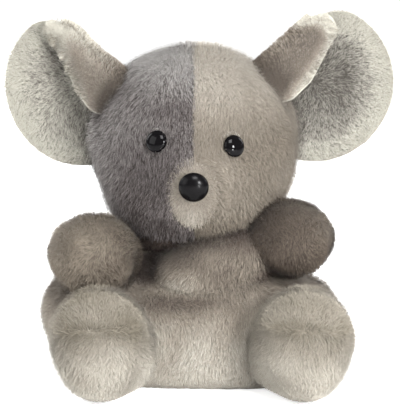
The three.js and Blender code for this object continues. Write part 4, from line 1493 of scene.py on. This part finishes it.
class MOUSE_OT_tail(Operator):
    """Make the tail"""

    bl_idname = "mouse.tail"
    bl_label = "Tail"

    def execute(self, context):
        s, pile = context.scene.mouse_tail, context.scene.mouse_tail_pile
        bm = bmesh.new()
        bmesh.ops.create_cone(bm, cap_ends=True, segments=TAIL_SEGMENTS, radius1=1, radius2=1, depth=1)
        sides = [e for e in bm.edges if abs(e.verts[0].co.z - e.verts[1].co.z) > 0.5]
        bmesh.ops.subdivide_edges(bm, edges=sides, cuts=TAIL_RINGS, use_grid_fill=False)
        spots = coordinates(bm)
        turn = np.arctan2(spots[:, 1], spots[:, 0])
        share_along = spots[:, 2] + 0.5
        middle, ahead = self.path(s, share_along)
        near_tip = np.clip((share_along - 1 + s.rounding) / s.rounding, 0, 0.999)
        radius = s.root_radius + (s.tip_radius - s.root_radius) * share_along
        radius = (radius - s.room) * np.sqrt(1 - near_tip**2)
        ring = np.cross(ahead, UP) * np.cos(turn)[:, None] + UP * np.sin(turn)[:, None]
        place(bm, middle + ring * radius[:, None])
        bmesh.ops.remove_doubles(bm, verts=bm.verts, dist=0.01 * MM)
        bmesh.ops.recalc_face_normals(bm, faces=bm.faces)
        cloth, points, _ = new_cloth("tail", bm, pile)
        middle, ahead = self.path(s, np.linspace(0, 1, TAIL_TICKS))
        nearest = ((points[:, None, :] - middle[None]) ** 2).sum(axis=2).argmin(axis=1)
        tone = ripple(points, 6 * MM, 91) * 0.15
        comb(cloth, ahead[nearest], tone=tone, long=over_floor(points, 2 * MM))
        fur = pile_material("tail_pile", pile)
        finish_cloth("tail", cloth, pile, fur, 93, "tail", "tail_plush", ["tail"])
        return {"FINISHED"}

    def path(self, s, share_along):
        """The tail's middle line, and its direction, at shares of its length."""
        straight = s.straight + s.root_radius
        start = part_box("tail")[1][1] - s.tip_radius - s.curl_radius - straight
        gone = share_along * (straight + s.curl_radius * s.curl)
        turned = np.maximum(0, gone - straight) / s.curl_radius
        x = s.curl_radius * (1 - np.cos(turned))
        y = start + np.minimum(gone, straight) + s.curl_radius * np.sin(turned)
        return vectors(x, y, s.height), vectors(np.sin(turned), np.cos(turned), 0.0)


class MOUSE_OT_fillings(Operator):
    """Make the fibre filling, the bean pouch and the beans, and finish the neck's thread"""

    bl_idname = "mouse.fillings"
    bl_label = "Fillings"

    def execute(self, context):
        scene = context.scene
        s, neck = scene.mouse_filling, scene.mouse_neck
        head, body = head_form(scene.mouse_head), body_form(scene.mouse_body)
        top = scene.mouse_body.pouch_top
        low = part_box("base_panel")[1][2] + s.gap
        fibre = soft_material("filling", s.fibre, 0.8 * MM)
        self.stuff(s, "head_fibre", head, fibre, "head", "head_stuffing", 0.9)
        self.stuff(s, "chest_fibre", body, fibre, "body", "body_stuffing", 0.7, low=top + s.gap)
        for side in SIDES:
            arm, foot = f"arm_{side}", f"foot_{side}"
            form = arm_form(scene.mouse_arms, body, side)
            self.stuff(s, f"{arm}_fibre", form, fibre, arm, f"arm_stuffing_{side}", 0.9)
            form = foot_form(scene.mouse_feet, side)
            self.stuff(s, f"{foot}_fibre", form, fibre, foot, f"foot_stuffing_{side}", 0.85, low=2 * MM)
        middle = np.array([0, neck.back, neck.height])
        wad = middle, ball(middle, neck.wad_radius + s.skin)
        self.stuff(s, "neck_wad", wad, fibre, "neck", "neck_stuffing", 0.9)
        cotton = soft_material("pouch_cloth", s.cotton, 0.5 * MM)
        self.stuff(s, "pouch", body, cotton, "body", "bean_pouch", 0.6, low, top, "pouch_cloth")
        beans, inner = bean_material("beans", s.pellet, s.bean), s.pouch_cloth
        low, top = low + inner, top - inner
        self.stuff(s, "bean_heap", body, beans, "body", "bean_fill", 0.6, low, top, "beans", inner)
        finish_node("neck_thread", soft_material("seam_thread", s.thread, 0.3 * MM, shade=0.6))
        return {"FINISHED"}

    def stuff(self, s, name, form, material, body, node, fill, low=None, high=None, slot="filling", more=0):
        """A lumpy closed filling inside a form, cut flat at a lowest and a highest level."""
        bm = grown_ball(form, COARSE, s.skin + more)
        points = coordinates(bm)
        lumpy = np.abs(ripple(points, s.lumps, len(name))) * s.lump_height
        place(bm, points - unit(points - form[0]) * lumpy[:, None])
        for level, normal in ((low, (0, 0, -1)), (high, (0, 0, 1))):
            if level is not None:
                keep_side(bm, (0, 0, level), normal)
                cap(bm)
        settle(piece(name, bm, material), body, [node])


SENSOR = 36  # width of the camera's sensor, in millimetres as the camera keeps it
FLOOR_HALF = 4  # from the toy to the floor's edge, in metres
LOW_SPARK = 0.3  # power of the lower small lamp as a share of the upper one's


class MOUSE_OT_stage(Operator):
    """Set up the floor, the lamps and the camera"""

    bl_idname = "mouse.stage"
    bl_label = "Stage"

    def execute(self, context):
        scene = context.scene
        s = scene.mouse_stage
        self.camera(scene, s)
        self.lamps(s)
        self.world(scene, s)
        self.floor(s)
        scene.view_settings.view_transform = "Standard"
        return {"FINISHED"}

    def camera(self, scene, s):
        """The camera that took the photograph."""
        aim = np.array([s.aim_side, 0, s.aim_height])
        back = np.array([0, -math.cos(s.elevation), math.sin(s.elevation)])
        data = bpy.data.cameras.new("camera")
        data.sensor_width = SENSOR
        data.lens = data.sensor_width * s.distance / (s.long_side * s.pixel)
        data.clip_start, data.clip_end = 0.01, 20
        made = linked("camera", data)
        made.location = aim + back * s.distance
        made.rotation_euler = (math.pi / 2 - s.elevation, 0, 0)
        scene.camera = made

    def lamps(self, s):
        """Square lamps, each with its place, power and size."""
        lamps = (
            ("key", (0.1, -0.5, 0.7), s.key, 0.35),
            ("side", (-0.6, -0.3, 0.35), s.side, 0.5),
            ("rim_left", (0.55, 0.45, 0.4), s.rim, 0.4),
            ("rim_right", (-0.55, 0.45, 0.4), s.rim, 0.4),
            ("spark_high", (0.27, -0.42, 0.2), s.spark, 0.085),
            ("spark_low", (0.25, -0.48, 0.04), s.spark * LOW_SPARK, 0.05),
        )
        for name, spot, power, size in lamps:
            data = bpy.data.lights.new(name, "AREA")
            data.energy = power
            data.size = size
            made = linked(name, data)
            made.location = spot
            aim = Vector((0, 0, s.aim_height)) - Vector(spot)
            made.rotation_euler = aim.to_track_quat("-Z", "Y").to_euler()

    def world(self, scene, s):
        """Even light all round, and white for the camera."""
        world = bpy.data.worlds.new("world")
        scene.world = world
        world.use_nodes = True
        ground = world.node_tree.nodes["Background"]
        ground.inputs["Color"].default_value = (1, 1, 1, 1)
        make = NodeMaker(world.node_tree)
        world.node_tree.links.new(make.ranged(self.seen(make), s.world, 1.0), ground.inputs["Strength"])

    def seen(self, make):
        """1 for the camera's own rays, which show the background."""
        return make.add("ShaderNodeLightPath").outputs["Is Camera Ray"]

    def floor(self, s):
        """A wide floor that glows for the camera alone."""
        bm = grid(1, 1)
        bmesh.ops.scale(bm, vec=(FLOOR_HALF, FLOOR_HALF, 1), verts=bm.verts)
        made, make, shader = new_material("floor", 0.9)
        shader.inputs["Base Color"].default_value = (*s.floor, 1)
        shader.inputs["Emission Color"].default_value = (1, 1, 1, 1)
        glow = make.maths("MULTIPLY", self.seen(make), s.glow)
        make.tree.links.new(glow, shader.inputs["Emission Strength"])
        piece("floor", bm, made, smooth=False)


class MOUSE_PT_tools(Panel):
    """Lists the mouse's operators and settings"""

    bl_label = "Plush mouse"
    bl_space_type = "VIEW_3D"
    bl_region_type = "UI"
    bl_category = "Plush mouse"

    def draw(self, context):
        for step in STEPS:
            self.layout.operator(step.bl_idname)
        for name, group in SETTINGS.items():
            box = self.layout.box()
            box.label(text=name.replace("_", " "))
            for key in group.__annotations__:
                box.prop(getattr(context.scene, name), key)


STEPS = (
    MOUSE_OT_head,
    MOUSE_OT_buttons,
    MOUSE_OT_ears,
    MOUSE_OT_arms,
    MOUSE_OT_feet,
    MOUSE_OT_body,
    MOUSE_OT_tail,
    MOUSE_OT_fillings,
    MOUSE_OT_stage,
)
CLASSES = (*SETTINGS.values(), *STEPS, MOUSE_PT_tools)


def register():
    for made in CLASSES:
        bpy.utils.register_class(made)
    for name, group in SETTINGS.items():
        setattr(bpy.types.Scene, name, PointerProperty(type=group))


def unregister():
    for name in SETTINGS:
        delattr(bpy.types.Scene, name)
    for made in reversed(CLASSES):
        bpy.utils.unregister_class(made)


def main():
    register()
    bpy.ops.mouse.head()
    bpy.ops.mouse.buttons()
    bpy.ops.mouse.ears()
    bpy.ops.mouse.arms()
    bpy.ops.mouse.feet()
    bpy.ops.mouse.body()
    bpy.ops.mouse.tail()
    bpy.ops.mouse.fillings()
    bpy.ops.mouse.stage()


if __name__ == "__main__":
    main()
